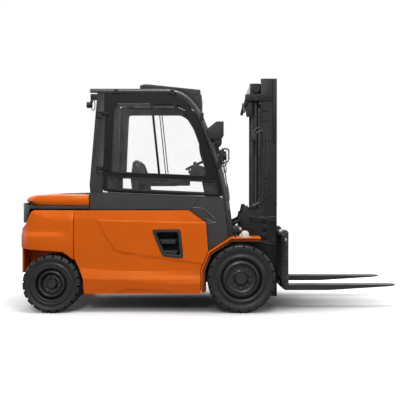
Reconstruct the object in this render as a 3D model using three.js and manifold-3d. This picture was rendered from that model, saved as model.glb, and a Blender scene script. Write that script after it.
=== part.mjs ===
// Electric counterbalance forklift with a closed cab and a two-stage mast.
// Millimetres, +Z up, +X towards the forks, +Y to the driver's left.
// The origin is on the ground under the middle of the whole length.

import * as THREE from 'three';
import { mergeVertices } from 'three/addons/utils/BufferGeometryUtils.js';
import Module from 'manifold-3d';

const manifold = await Module();
manifold.setup();

// ---------------------------------------------------------------- driving dimensions

const bladeLength = 1350;
const wheelbase = 2304;
const loadDistance = 607;
const rearOverhang = 469;
const bodyHalfWidth = 750;
const cabHalfWidth = 640;
const mastHeight = 2905;

const frontTyreRadius = 417;
const frontTyreWidth = 302;
const frontRimRadius = 244;
const rearTyreRadius = 355.5;
const rearTyreWidth = 300;
const rearRimRadius = 186;
const wheelSegments = 32;
const tyreOuterFace = 760;

const seat = 0.3;
const panelGap = 6;

// places along the machine, drawn from the front axle, which the cab stands around
const frontAxleX = 408;
const forkFaceX = frontAxleX + loadDistance;
const forkTipX = forkFaceX + bladeLength;
const rearAxleX = frontAxleX - wheelbase;
const rearX = rearAxleX - rearOverhang;
const middleX = (rearX + forkTipX) / 2;
const facetDrop = Math.cos(Math.PI / wheelSegments);
const frontAxleZ = frontTyreRadius * facetDrop;
const rearAxleZ = rearTyreRadius * facetDrop;
const frontWheelY = tyreOuterFace - frontTyreWidth / 2;
const rearWheelY = tyreOuterFace - rearTyreWidth / 2;

// ---------------------------------------------------------------- colours

const orange = { color: 0xd2601a, roughness: 0.4, metalness: 0.1 };
const cabGrey = { color: 0x3c3c3e, roughness: 0.6, metalness: 0.1 };
const frameBlack = { color: 0x29292b, roughness: 0.5, metalness: 0.2 };
const mastBlack = { color: 0x2d2e30, roughness: 0.45, metalness: 0.4 };
const trimGrey = { color: 0x55585b, roughness: 0.6, metalness: 0.1 };
const rubber = { color: 0x232323, roughness: 0.9, metalness: 0 };
const plastic = { color: 0x1c1c1d, roughness: 0.7, metalness: 0 };
const steel = { color: 0x8d9094, roughness: 0.35, metalness: 0.9 };
const glass = { color: 0x9fb0b5, roughness: 0.05, metalness: 0, opacity: 0.3, transparent: true };

// ---------------------------------------------------------------- solids

const forklift = new THREE.Group();
forklift.name = 'forklift';

// one closed solid from a three.js geometry
function solid(geometry) {
  const bare = geometry.index ? geometry.toNonIndexed() : geometry.clone();
  bare.deleteAttribute('normal');
  bare.deleteAttribute('uv');
  const merged = mergeVertices(bare, 1e-3);
  const points = merged.getAttribute('position').array;
  const corners = merged.index.array;
  const kept = [];
  let volume = 0;
  for (let i = 0; i < corners.length; i += 3) {
    const [a, b, c] = corners.slice(i, i + 3);
    if (a === b || b === c || c === a) continue;
    kept.push(a, b, c);
    const [p, q, r] = [a, b, c].map((n) => new THREE.Vector3().fromArray(points, 3 * n));
    volume += p.dot(q.cross(r));
  }
  const outward = volume > 0 ? kept : kept.reverse();
  return new manifold.Manifold(new manifold.Mesh({
    numProp: 3,
    vertProperties: new Float32Array(points),
    triVerts: new Uint32Array(outward),
  }));
}

function geometryOf(body) {
  const made = body.getMesh();
  const geometry = new THREE.BufferGeometry();
  geometry.setAttribute('position', new THREE.BufferAttribute(made.vertProperties, 3));
  geometry.setIndex(new THREE.BufferAttribute(made.triVerts, 1));
  return geometry;
}

function add(name, body, look, place = [0, 0, 0]) {
  const material = new THREE.MeshStandardMaterial(look);
  const mesh = new THREE.Mesh(geometryOf(body), material);
  mesh.name = name;
  mesh.position.set(place[0] - middleX, place[1], place[2]);
  forklift.add(mesh);
}

function join(...bodies) {
  return bodies.reduce((whole, body) => whole.add(body));
}

function box(low, high) {
  const size = high.map((value, i) => value - low[i]);
  const geometry = new THREE.BoxGeometry(...size);
  geometry.translate(...low.map((value, i) => value + size[i] / 2));
  return solid(geometry);
}

// a box given for the left side, mirrored to the right when side is -1
function sideBox(side, x, y, z) {
  const across = [side * y[0], side * y[1]].sort((a, b) => a - b);
  return box([x[0], across[0], z[0]], [x[1], across[1], z[1]]);
}

// a shape always drawn anticlockwise, so that its holes face the right way
function shapeOf(outline) {
  const points = outline.map(([a, b]) => new THREE.Vector2(a, b));
  return new THREE.Shape(THREE.ShapeUtils.isClockWise(points) ? points.reverse() : points);
}

// an outline in X and Z, extruded across the machine
function plate(outline, y0, y1, holes = []) {
  const shape = shapeOf(outline);
  shape.holes = holes.map(shapeOf);
  const low = Math.min(y0, y1);
  const geometry = new THREE.ExtrudeGeometry(shape, { depth: Math.abs(y1 - y0), bevelEnabled: false });
  geometry.rotateX(Math.PI / 2);
  geometry.translate(0, low + Math.abs(y1 - y0), 0);
  return solid(geometry);
}

// an outline in X and Y, extruded upwards
function slab(outline, z0, z1) {
  const geometry = new THREE.ExtrudeGeometry(shapeOf(outline), { depth: z1 - z0, bevelEnabled: false });
  geometry.translate(0, 0, z0);
  return solid(geometry);
}

// an outline in Y and Z, extruded along the machine
function rib(outline, x0, x1) {
  const geometry = new THREE.ExtrudeGeometry(shapeOf(outline), { depth: x1 - x0, bevelEnabled: false });
  geometry.rotateY(Math.PI / 2);
  geometry.rotateX(Math.PI / 2);
  geometry.translate(x0, 0, 0);
  return solid(geometry);
}

// a profile of [radius, y] turned about an axis along Y
function turned(profile, segments = wheelSegments) {
  const points = profile.map(([r, y]) => new THREE.Vector2(r, y));
  return solid(new THREE.LatheGeometry(points, segments, Math.PI / segments));
}

// a round bar between two points
function bar(from, to, radius, segments = 16) {
  const start = new THREE.Vector3(...from);
  const end = new THREE.Vector3(...to);
  const along = end.clone().sub(start);
  const geometry = new THREE.CylinderGeometry(radius, radius, along.length(), segments);
  const turn = new THREE.Quaternion();
  turn.setFromUnitVectors(new THREE.Vector3(0, 1, 0), along.clone().normalize());
  geometry.applyQuaternion(turn);
  geometry.translate(...start.add(end).multiplyScalar(0.5).toArray());
  return solid(geometry);
}

const sides = [['left', 1], ['right', -1]];

// ---------------------------------------------------------------- chassis

const frameBottomZ = 234;
const tubHalfWidth = 590;
const tubWall = 40;
const tubRearX = -1455;
const tubFrontX = -95;
const tubTopZ = 880;
const crossPlate = 36;
const spineHalfWidth = 150;
const spineZ = [600, 735];

const railHalf = 400;
const mastPivotHalf = [railHalf - 48, railHalf - 8];
const pivotPlay = 0.7;
const rodPlay = 0.5;
const axleTubeRadius = 95;
const axleHousingRadius = 138;
const axleHousingHalf = 130;

const tiltPivot = [-180, 800];
const tiltEye = [440, 1120];
const tiltCylinderY = railHalf - 75;
const tiltPinRadius = 20;
const tiltEyeWidth = 46;
const tiltPlay = 7;
const tiltLug = 20;

const footwellZ = 1020;
const floorPlate = 30;
const floorUnderZ = footwellZ - floorPlate;
const pillarWidth = 55;
const cabMountX = [-440, -150];
const panelWall = 50;
const panelInnerHalf = bodyHalfWidth - panelWall;
const outriggerX = [-1330, -220];
const outriggerZ = [340, 470];
const fenderBackX = -79;

const batteryX = [-1395, -470];
const batteryHalfWidth = 500;
const batteryZ = [frameBottomZ + tubWall + seat, 1110];

// lugs of a clevis on each side of an eye, with their pin
function clevis(side, at, reachX, heightZ) {
  const half = tiltEyeWidth / 2 + 2;
  const z = [at[1] - heightZ, at[1] + heightZ];
  const inner = [tiltCylinderY - half - tiltLug, tiltCylinderY - half];
  const outer = [tiltCylinderY + half, tiltCylinderY + half + tiltLug];
  return join(
    sideBox(side, reachX, inner, z),
    sideBox(side, reachX, outer, z),
    bar([at[0], side * inner[0], at[1]], [at[0], side * outer[1], at[1]], tiltPinRadius),
  );
}

function chassisFrame() {
  const pieces = [
    box([tubRearX, -tubHalfWidth, frameBottomZ], [tubFrontX, tubHalfWidth, frameBottomZ + tubWall]),
    box([tubRearX, -tubHalfWidth, frameBottomZ], [tubRearX + crossPlate, tubHalfWidth, tubTopZ]),
    box([tubFrontX - crossPlate, -tubHalfWidth, frameBottomZ], [tubFrontX, tubHalfWidth, tubTopZ - 140]),
    box([rearX + 100, -spineHalfWidth, spineZ[0]], [tubRearX + 1, spineHalfWidth, spineZ[1]]),
    box([-290, -tubHalfWidth, 690], [-240, tubHalfWidth, 850]),
  ];
  for (const [, side] of sides) {
    pieces.push(sideBox(side, [tubRearX, tubFrontX], [tubHalfWidth - tubWall, tubHalfWidth],
      [frameBottomZ, tubTopZ]));
    pieces.push(clevis(side, tiltPivot, [-241, tiltPivot[0] + 32], 40));
    const cheek = plate([[-503, -115], [-40, -115], [40, -55], [40, 65], [-40, 145], [-503, 285]]
      .map(([x, z]) => [frontAxleX + x, frontAxleZ + z]), side * 200, side * 240);
    pieces.push(cheek);
    for (const x of outriggerX) {
      pieces.push(sideBox(side, [x, x + 60], [tubHalfWidth - 2, panelInnerHalf - seat], outriggerZ));
    }
    for (const x of cabMountX) {
      pieces.push(sideBox(side, [x, x + 50], [cabHalfWidth - 140, tubHalfWidth - 5],
        [tubTopZ - 60, floorUnderZ - seat]));
    }
    pieces.push(sideBox(side, [tubFrontX - 5, fenderBackX - seat], [470, 560], [300, 480]));
  }
  const seatRadius = axleTubeRadius + seat;
  const tubeSpace = turned([[0, -300], [seatRadius, -300], [seatRadius, 300], [0, 300]]);
  return join(...pieces).subtract(tubeSpace.translate(frontAxleX, 0, frontAxleZ));
}

function battery() {
  return box([batteryX[0], -batteryHalfWidth, batteryZ[0]], [batteryX[1], batteryHalfWidth, batteryZ[1]]);
}

add('chassis_frame', chassisFrame(), frameBlack);
add('battery', battery(), cabGrey);

// ---------------------------------------------------------------- counterweight and rear

const bodySeamX = -1629;
const bodyTopZ = 1245;
const creaseZ = 1137;
const bandZ = [1263, 1300];
const apronZ = [1085, 1330];
const archTopZ = 745;

// the rear of the body in plan, from one flank round to the other
function rearPlan(frontX, halfWidth, back) {
  const corner = halfWidth - 50;
  const flank = [[frontX, halfWidth], [back + 520, halfWidth - 4], [back + 300, halfWidth - 22],
    [back + 165, corner], [back + 80, corner - 90], [back + 30, corner - 200], [back + 8, corner - 350]];
  const other = flank.map(([x, y]) => [x, -y]).reverse();
  return flank.concat([[back, 170], [back, -170]], other);
}

function counterweight() {
  const front = bodySeamX - panelGap / 2;
  const side = plate([[front, 690], [front, bodyTopZ], [-2121, bodyTopZ], [-2160, 1226],
    [-2236, 1084], [-2280, 1040], [-2350, 1000], [rearX, 960], [rearX, 780],
    [rearAxleX + 147, archTopZ], [rearAxleX + 220, 706]], -bodyHalfWidth, bodyHalfWidth);
  const cheeks = sides.map(([, hand]) => plate([[front, 650], [front, 760], [rearAxleX + 136, 760],
    [rearAxleX + 136, archTopZ - 3], [rearAxleX + 174, 720]], hand * 705, hand * bodyHalfWidth));
  const plan = slab(rearPlan(bodySeamX, bodyHalfWidth - 4, rearX), 600, 1300);
  const lean = rib([[-742, 600], [742, 600], [742, creaseZ], [700, bodyTopZ], [-700, bodyTopZ],
    [-742, creaseZ]], rearX - 1, bodySeamX);
  const skirtPlan = slab(rearPlan(bodySeamX, bodyHalfWidth - 4, rearX), 450, 790);
  const skirt = skirtPlan.intersect(box([rearX - 1, -430, 450], [rearAxleX - 424, 430, 790]));
  const keel = box([rearX + 20, -spineHalfWidth, 450], [rearAxleX - 190, spineHalfWidth, 790]);
  const spineRoom = box([rearX + 99, -spineHalfWidth - 1, spineZ[0] - seat],
    [bodySeamX + 1, spineHalfWidth + 1, spineZ[1] + seat]);
  return join(join(side, ...cheeks).intersect(plan).intersect(lean), skirt, keel).subtract(spineRoom);
}

const cabRearX = -1445;
const hoodHingeX = cabRearX - 15;
const hoodTopZ = 1457;
const hoodRearX = rearX + 39;

// a band round the tail under the hood, with an apron that closes the back above the counterweight
function rearTrim() {
  const band = slab(rearPlan(cabRearX - panelGap, 668, -2300), ...bandZ);
  const tail = slab(rearPlan(-1700, 690, rearX + 10), apronZ[0], apronZ[1]);
  const tailShape = plate([[rearX, apronZ[0]], [rearX, 1262], [-2335, 1315], [-2310, apronZ[1]],
    [-2270, apronZ[1]], [-2215, bandZ[1]], [-2100, bandZ[1]], [-2100, bandZ[0]], [-2180, bandZ[0]],
    [-2250, apronZ[0]]], -690, 690);
  const hoodRoom = slab(rearPlan(cabRearX, 667, hoodRearX + 16), bandZ[1], apronZ[1] + 1);
  const pads = box([-2120, -500, bodyTopZ + seat], [-1500, 500, bandZ[0] + 1]);
  const stops = [1, -1].map((side) => sideBox(side, [-2165, -2140], [380, 440],
    [bandZ[1] - 1, bandZ[1] + panelGap - seat]));
  const apron = tail.intersect(tailShape).subtract(hoodRoom);
  return join(band, apron, pads, ...stops).subtract(counterweight());
}

// heights of the hood's skin, each with how far it stands in from the widest outline
const hoodLevels = [[bandZ[1] + panelGap, 62], [1336, 24], [1358, 0], [1388, 14], [1410, 52], [1424, 110],
  [1436, 300]];

function rearHood() {
  const skins = hoodLevels.map(([z, inset]) => {
    const outline = rearPlan(hoodHingeX, 655 - inset * 0.12, hoodRearX + inset);
    return slab(outline, z, z + 1);
  });
  const shell = manifold.Manifold.hull(skins);
  const hollow = box([-2130, -560, 1290], [hoodHingeX - 40, 560, 1395]);
  const crown = plate([[hoodHingeX, 1430], [hoodHingeX, hoodTopZ], [-1780, 1452], [-2010, 1436],
    [-2030, 1420], [-1900, 1415]], -500, 500);
  return join(shell.subtract(hollow), crown);
}

add('counterweight', counterweight(), orange);
add('rear_trim', rearTrim(), trimGrey);
add('rear_hood', rearHood(), orange);

// ---------------------------------------------------------------- flanks

const panelFront = [[-235, bodyTopZ], [-22, 1095], [4, 752], [-88, 532], [-88, frameBottomZ]];
const archEdge = [[rearAxleX + 395, frameBottomZ], [rearAxleX + 385, 420], [rearAxleX + 321, 571],
  [bodySeamX + panelGap / 2, 668]];
const stepOutline = [[-670, 1005], [-340, 1010], [-305, 671], [-541, 700]];
const stepDepth = 140;

// an outline moved away from its own middle by a distance
function grown(outline, by) {
  const middle = outline.reduce((sum, [a, b]) => [sum[0] + a / outline.length, sum[1] + b / outline.length],
    [0, 0]);
  return outline.map(([a, b]) => {
    const reach = Math.hypot(a - middle[0], b - middle[1]);
    return [a + (a - middle[0]) * by / reach, b + (b - middle[1]) * by / reach];
  });
}

function sidePanel(side) {
  const outline = [[bodySeamX + panelGap / 2, bodyTopZ], ...panelFront, ...archEdge];
  const wall = plate(outline, side * 600, side * 760, [grown(stepOutline, seat + 0.1)]);
  const outer = [[700, bodyTopZ], [735, creaseZ], [730, 560], [bodyHalfWidth, 480],
    [bodyHalfWidth, 330], [740, frameBottomZ]];
  const inner = outer.map(([y, z]) => [y - panelWall, z]).reverse();
  const section = rib(outer.concat(inner).map(([y, z]) => [side * y, z]), bodySeamX, 10);
  return wall.intersect(section);
}

function stepWell(side) {
  const block = plate(stepOutline, side * (738 - stepDepth), side * 738);
  const room = plate(grown(stepOutline, -42), side * (738 - stepDepth + 8), side * 740);
  return block.subtract(room);
}

const fenderOuter = [[643, 919], [283, 919], [10, 746], [-79, 529], [-79, 248]];
const fenderInner = [[-31, 248], [-31, 520], [46, 712], [296, 867], [643, 867]];
const fenderInboard = 450;

function frontFender(side) {
  return plate(fenderOuter.concat(fenderInner), side * fenderInboard, side * (bodyHalfWidth - 2));
}

const cabSill = 1462;
const pillarHalf = [cabHalfWidth - pillarWidth, cabHalfWidth];

function cabSide(side) {
  const outline = [[cabRearX, 1256], [cabRearX, cabSill], [-1300, cabSill], [192, 1386], [219, 1190],
    [252, 926], [282, 926], [10, 756], [-14, 1100], [-229, 1256]];
  return plate(outline, side * pillarHalf[0], side * (cabHalfWidth + 8));
}

for (const [name, side] of sides) {
  add(`side_panel_${name}`, sidePanel(side), orange);
  add(`step_${name}`, stepWell(side), plastic);
  add(`front_fender_${name}`, frontFender(side), orange);
  add(`cab_side_${name}`, cabSide(side), cabGrey);
}

// ---------------------------------------------------------------- cab

const deckZ = 1205;
const cabRoofZ = 2737;

// the outer edge of the front pillar, from the roof down to the fender
const pillarOuter = [[-430, cabRoofZ], [-281, 2675], [-158, 2564], [-84, 2441], [2, 2257], [76, 2060],
  [138, 1887], [212, 1616], [261, 1370], [286, 1197], [318, 930]];
const pillarInner = [[258, 930], [226, 1197], [200, 1370], [151, 1610], [77, 1880], [14, 2050],
  [-58, 2245], [-135, 2410], [-205, 2520], [-300, 2615], [-440, 2682]];
const rearPillar = [[-1266, 2682], [-1296, cabSill + seat], [-1444, cabSill + seat], [-1452, 1560],
  [-1356, 2692], [-1446, 2694], [-1446, cabRoofZ]];

// the sloping plate in front of the driver's feet
const toeBoard = [[20, footwellZ], [232, 1180]];

function toeBoardZ(x) {
  const [[x0, z0], [x1, z1]] = toeBoard;
  return z0 + (z1 - z0) * (x - x0) / (x1 - x0);
}

function cabFloor() {
  const top = [[cabRearX + 4, 1440], [cabRearX + 24, 1440], [cabRearX + 24, deckZ], [-450, deckZ],
    [-450, footwellZ], toeBoard[0], toeBoard[1], [252, toeBoard[1][1]]];
  const under = [[262, 1150], [28, floorUnderZ], [-470, floorUnderZ], [-470, deckZ - 20],
    [cabRearX + 4, deckZ - 20]];
  return plate(top.concat(under), -pillarHalf[0] + seat, pillarHalf[0] - seat);
}

const hingeX = -1291;
const hingeY = cabHalfWidth + 12;
const hingeZ = [2424, 1750];
const hingeHalf = 22;
const hingeBarrel = 10;
const hingePinRadius = 5;

function hingePin(side, z, radius) {
  const half = hingeHalf + 20;
  return bar([hingeX, side * hingeY, z - half], [hingeX, side * hingeY, z + half], radius, 12);
}

// a pillar and roof rail of one side, with the fixed halves of the door hinges
function cabFrame(side) {
  const outline = pillarOuter.concat(pillarInner, rearPillar);
  const pieces = [plate(outline, side * pillarHalf[0], side * pillarHalf[1])];
  for (const z of hingeZ) {
    pieces.push(hingePin(side, z, hingePinRadius));
    for (const low of [z - hingeHalf - 20, z + hingeHalf]) {
      pieces.push(sideBox(side, [hingeX - 55, hingeX + 6], [cabHalfWidth - 1, hingeY + 6], [low, low + 20]));
    }
  }
  return join(...pieces);
}

const roofX = [-1340, -440];
const roofBarZ = [2683, 2711];
const roofBarInset = 85;

function roofGuard() {
  const half = pillarHalf[0] - seat;
  const pieces = [
    box([roofX[0], -half, roofBarZ[0]], [roofX[0] + 60, half, roofBarZ[1]]),
    box([roofX[1] - 60, -half, roofBarZ[0]], [roofX[1], half, roofBarZ[1]]),
  ];
  for (const share of [-1, -0.5, 0, 0.5, 1]) {
    const y = share * (pillarHalf[0] - roofBarInset);
    pieces.push(box([roofX[0] + 59, y - 15, roofBarZ[0]], [roofX[1] - 59, y + 15, roofBarZ[1]]));
  }
  return join(...pieces);
}

const paneThickness = 6;
const paneInset = 14;

// the windscreen follows the front pillars a little behind their outer edge
function windscreen() {
  const run = pillarOuter.slice(1, -1).map(([x, z]) => [x - paneInset, z]);
  const back = run.map(([x, z]) => [x - paneThickness, z - 1]).reverse();
  return plate(run.concat(back), -pillarHalf[0] + seat, pillarHalf[0] - seat);
}

function rearWindow() {
  const outline = [[-1428, 1445], [-1428, 1560], [-1345, 2610], [-1339, 2610], [-1422, 1560], [-1422, 1445]];
  return plate(outline, -pillarHalf[0] + seat, pillarHalf[0] - seat);
}

const wheelTilt = THREE.MathUtils.degToRad(25);
const steeringCentre = [-168, 0, 1823];
const steeringRadius = 150;
const steeringAxis = [-Math.sin(wheelTilt), 0, Math.cos(wheelTilt)];

function alongSteering(distance) {
  return steeringCentre.map((value, i) => value + steeringAxis[i] * distance);
}

function dashboard() {
  const footX = [70, 222];
  const body = plate([[footX[1], toeBoardZ(footX[1]) + 2 * seat], [150, 1420], [90, 1640], [0, 1690],
    [-45, 1782], [-95, 1776], [-100, 1700], [-60, 1500], [-10, 1300],
    [footX[0], toeBoardZ(footX[0]) + 2 * seat]], -260, 260);
  const column = bar(alongSteering(-190), alongSteering(-44 - seat), 32);
  return join(body, column);
}

// a ring with a hub and three spokes, turned about the column
function steeringWheel() {
  const ring = solid(new THREE.TorusGeometry(steeringRadius - 13, 13, 6, 20));
  const pieces = [ring, bar([0, 0, -44], [0, 0, 2], 38)];
  for (const turn of [90, 210, 330]) {
    const angle = THREE.MathUtils.degToRad(turn);
    const reach = steeringRadius - 14;
    pieces.push(bar([0, 0, -12], [reach * Math.cos(angle), reach * Math.sin(angle), 0], 9, 8));
  }
  const flat = geometryOf(join(...pieces));
  flat.rotateY(-wheelTilt);
  return solid(flat);
}

function seatBase() {
  return join(
    box([-940, -200, deckZ + seat], [-500, 200, 1300]),
    box([-900, -360, 1230], [-780, -199, 1270]),
    box([-880, -370, 1231], [-800, -290, 1560]),
    box([-880, -380, 1540], [-400, -290, 1610]),
  );
}

function seatCushions() {
  return plate([[-450, 1300 + seat], [-430, 1340], [-450, 1390], [-520, 1405], [-800, 1400],
    [-870, 1640], [-905, 1877], [-975, 1877], [-1010, 1640], [-960, 1330], [-930, 1300 + seat]], -245, 245);
}

function roofHousing() {
  const top = cabRoofZ + seat;
  return plate([[-825, top], [-812, 2794], [-749, 2800], [-92, 2731], [-81, 2506], [-100, 2500],
    [-146, 2569], [-272, 2682], [-420, top]], -cabHalfWidth + 35, cabHalfWidth - 35);
}

// where the front pillar's outer edge lies at a height
function pillarEdgeX(z) {
  const upper = pillarOuter.findLast((point) => point[1] >= z);
  const lower = pillarOuter.find((point) => point[1] < z);
  return upper[0] + (lower[0] - upper[0]) * (upper[1] - z) / (upper[1] - lower[1]);
}

const lampSide = [cabHalfWidth + 8, cabHalfWidth + 95];

// mirror case over a round lamp and a square lamp, all on one bracket
function lampCluster(side) {
  const caseOutline = [[-20, 2226], [104, 2326], [194, 2328], [194, 2157], [165, 2111], [24, 2111]];
  const bracket = [[76, 2062], [44, 2150], [90, 2150], [186, 1850], [153, 1850]];
  const seated = [1940, 2060, 2135].map((z) => [pillarEdgeX(z) + 2 * seat, z]);
  const foot = [...seated, [90, 2135], [150, 1940]];
  return join(
    plate(caseOutline, side * lampSide[0], side * lampSide[1]),
    plate(bracket, side * (cabHalfWidth + 4), side * (lampSide[0] + 12)),
    plate(foot, side * (cabHalfWidth - 30), side * (lampSide[0] + 1)),
    bar([110, side * (cabHalfWidth + 50), 2075], [110, side * (cabHalfWidth + 50), 2115], 38),
    sideBox(side, [150, 258], [lampSide[0] - 2, lampSide[1] - 20], [1835, 1996]),
  );
}

function rearLamp(side) {
  return join(
    bar([-1490, side * (cabHalfWidth - 28), 2540], [-1420, side * (cabHalfWidth - 28), 2540], 38),
    plate([[-1425, 2532], [-1369.8, 2532], [-1357.2, 2680], [-1425, 2680]], side * (cabHalfWidth - 40),
      side * (cabHalfWidth - 16)),
  );
}

add('cab_floor', cabFloor(), cabGrey);
for (const [name, side] of sides) {
  add(`cab_frame_${name}`, cabFrame(side), frameBlack);
}
add('roof_guard', roofGuard(), frameBlack);
add('roof_window', box([roofX[0], 1 - pillarHalf[0], roofBarZ[1] + seat],
  [roofX[1], pillarHalf[0] - 1, roofBarZ[1] + paneThickness]), glass);
add('windscreen', windscreen(), glass);
add('rear_window', rearWindow(), glass);
add('dashboard', dashboard(), plastic);
add('steering_wheel', steeringWheel(), plastic, steeringCentre);
add('seat_base', seatBase(), plastic);
add('seat', seatCushions(), plastic);
add('roof_housing', roofHousing(), plastic);
for (const [name, side] of sides) {
  add(`lamp_cluster_${name}`, lampCluster(side), plastic);
  add(`rear_lamp_${name}`, rearLamp(side), plastic);
}

// ---------------------------------------------------------------- doors

const doorWall = 30;
const doorGlassOverlap = 18;
const doorOutline = [[-1258, 2674], [-1288, 1478], [189, 1410], [143, 1606], [69, 1876], [6, 2046],
  [-66, 2240], [-143, 2402], [-213, 2511], [-306, 2605], [-442, 2674]];
const upperWindow = [[-1150, 2566], [-1187, 1714], [-6, 1660], [-48, 1861], [-120, 2131], [-205, 2360],
  [-292, 2504], [-390, 2556]];
const lowerWindow = [[-1240, 1664], [-1240, 1502], [128, 1440], [100, 1604]];

function doorFrame(side) {
  const inner = cabHalfWidth - doorWall;
  const pieces = [plate(doorOutline, side * inner, side * cabHalfWidth, [upperWindow, lowerWindow])];
  for (const z of hingeZ) {
    const span = [z - hingeHalf + 1, z + hingeHalf - 1];
    const knuckles = join(
      bar([hingeX, side * hingeY, span[0]], [hingeX, side * hingeY, span[1]], hingeBarrel, 12),
      sideBox(side, [hingeX, hingeX + 75], [cabHalfWidth + 3, hingeY], span),
      sideBox(side, [hingeX + 45, hingeX + 75], [cabHalfWidth - 1, hingeY], span),
    );
    pieces.push(knuckles.subtract(hingePin(side, z, hingePinRadius + seat)));
  }
  return join(...pieces);
}

function doorGlass(side) {
  const outline = [[-1166, 2584], [-1255, 1690], [-1255, 1490], [136, 1428], [112, 1600], [10, 1664],
    [-32, 1861], [-104, 2136], [-190, 2368], [-284, 2520], [-386, 2574]];
  const outer = cabHalfWidth - doorWall - seat;
  return plate(outline, side * (outer - paneThickness), side * outer);
}

for (const [name, side] of sides) {
  add(`door_${name}`, doorFrame(side), frameBlack);
  add(`door_glass_${name}`, doorGlass(side), glass);
}

// ---------------------------------------------------------------- axles, knuckles and wheels

function driveAxle() {
  const hubReach = frontWheelY + 20 - seat;
  const profile = [[0, -hubReach], [110, -hubReach], [110, -hubReach + 90],
    [axleTubeRadius, -hubReach + 100],
    [axleTubeRadius, -axleHousingHalf - 40], [axleHousingRadius, -axleHousingHalf]];
  const other = profile.map(([r, y]) => [r, -y]).reverse();
  return turned(profile.concat(other), 32);
}

const kingpinY = 520;
const kingpinRadius = 18;
const beamEyeRadius = 42;
const beamHalfHeight = 50;

function steerAxle() {
  const z = [rearAxleZ - beamHalfHeight, rearAxleZ + beamHalfHeight];
  const half = [[-kingpinY, -38], [-345, -38], [-190, -120], [190, -120], [345, -38], [kingpinY, -38]];
  const outline = half.map(([y, x]) => [rearAxleX + x, y]);
  const back = half.map(([y, x]) => [rearAxleX - x, y]).reverse();
  const pieces = [slab(outline.concat(back), ...z)];
  pieces.push(box([rearAxleX - 110, -130, z[1] - 1], [rearAxleX + 110, 130, spineZ[0] - seat]));
  for (const [, side] of sides) {
    const eye = [rearAxleX, side * kingpinY];
    pieces.push(bar([...eye, z[0]], [...eye, z[1]], beamEyeRadius, 24));
  }
  let beam = join(...pieces);
  for (const [, side] of sides) {
    const eye = [rearAxleX, side * kingpinY];
    beam = beam.subtract(bar([...eye, z[0] - 5], [...eye, z[1] + 5], kingpinRadius + 1, 24));
  }
  return beam;
}

function knuckle(side) {
  const near = beamHalfHeight + 4;
  const far = near + 30;
  const z = rearAxleZ;
  const web = [50, 74];
  const discY = rearWheelY + 50 - seat;
  const eye = [rearAxleX, side * kingpinY];
  const ear = (low, high) => join(
    bar([...eye, low], [...eye, high], beamEyeRadius, 24),
    sideBox(side, [rearAxleX - beamEyeRadius, rearAxleX + beamEyeRadius],
      [kingpinY, kingpinY + web[1]], [low, high]),
  );
  return join(
    ear(z - far, z - near),
    ear(z + near, z + far),
    sideBox(side, [rearAxleX - beamEyeRadius, rearAxleX + beamEyeRadius],
      [kingpinY + web[0], kingpinY + web[1]], [z - far, z + far]),
    bar([...eye, z - far], [...eye, z + far], kingpinRadius, 24),
    bar([rearAxleX, side * (kingpinY + web[1] - 1), z], [rearAxleX, side * discY, z], 44, 24),
  );
}

// a solid tyre, open over its rim
function tyre(radius, width, rimRadius) {
  const half = width / 2;
  const wall = half - 14;
  return turned([[rimRadius + seat, -wall], [radius * 0.7, -half], [radius - 22, -half],
    [radius, -half + 26],
    [radius, half - 26], [radius - 22, half], [radius * 0.7, half], [rimRadius + seat, wall],
    [rimRadius + seat, -wall]]);
}

// a rim with its disc, open towards the machine; outwards is +Y
function rim(rimRadius, width, discY, hubRadius) {
  const half = width / 2 - 10;
  const barrel = rimRadius - 12;
  const dish = discY + 14;
  return turned([[0, discY], [barrel - 40, discY], [barrel, discY - 20], [barrel, -half],
    [rimRadius, -half], [rimRadius, half], [barrel, half], [barrel - 20, dish + 20], [barrel - 60, dish],
    [hubRadius + 14, dish], [hubRadius, dish + 46], [0, dish + 46]]);
}

function mirrored(body) {
  const geometry = geometryOf(body);
  geometry.scale(1, -1, 1);
  return solid(geometry);
}

const frontTyre = tyre(frontTyreRadius, frontTyreWidth, frontRimRadius);
const rearTyre = tyre(rearTyreRadius, rearTyreWidth, rearRimRadius);
const frontRim = rim(frontRimRadius, frontTyreWidth, 20, 75);
const rearRim = rim(rearRimRadius, rearTyreWidth, 50, 60);

add('drive_axle', driveAxle(), frameBlack, [frontAxleX, 0, frontAxleZ]);
add('steer_axle', steerAxle(), frameBlack);
for (const [name, side] of sides) {
  const front = [frontAxleX, side * frontWheelY, frontAxleZ];
  const rear = [rearAxleX, side * rearWheelY, rearAxleZ];
  add(`knuckle_${name}`, knuckle(side), frameBlack);
  add(`front_tyre_${name}`, frontTyre, rubber, front);
  add(`front_rim_${name}`, side > 0 ? frontRim : mirrored(frontRim), plastic, front);
  add(`rear_tyre_${name}`, rearTyre, rubber, rear);
  add(`rear_rim_${name}`, side > 0 ? rearRim : mirrored(rearRim), plastic, rear);
}

// ---------------------------------------------------------------- mast

const railX = [forkFaceX - 343, forkFaceX - 141];
const railWeb = 16;
const railFlange = 22;
const railReach = 70;
const mastBottomZ = 147;
const nestGap = 6;

const innerBottomZ = 262;
const innerTopZ = mastHeight - 15;
const liftRodX = railX[0] - 62;
const liftRodY = railHalf - 100;
const liftRodRadius = 26;
const barrelRadius = 48;
const barrelTopZ = mastHeight - 955;
const crossheadZ = [mastHeight - 193, mastHeight - 53];
const upperTieZ = [mastHeight - 340, mastHeight - 221];

// a channel rail open towards the middle of the machine
function channel(side, x, half, web, flange, reach, z) {
  return join(
    sideBox(side, x, [half - web, half], z),
    sideBox(side, [x[0], x[0] + flange], [half - reach, half - web + 1], z),
    sideBox(side, [x[1] - flange, x[1]], [half - reach, half - web + 1], z),
  );
}

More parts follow.
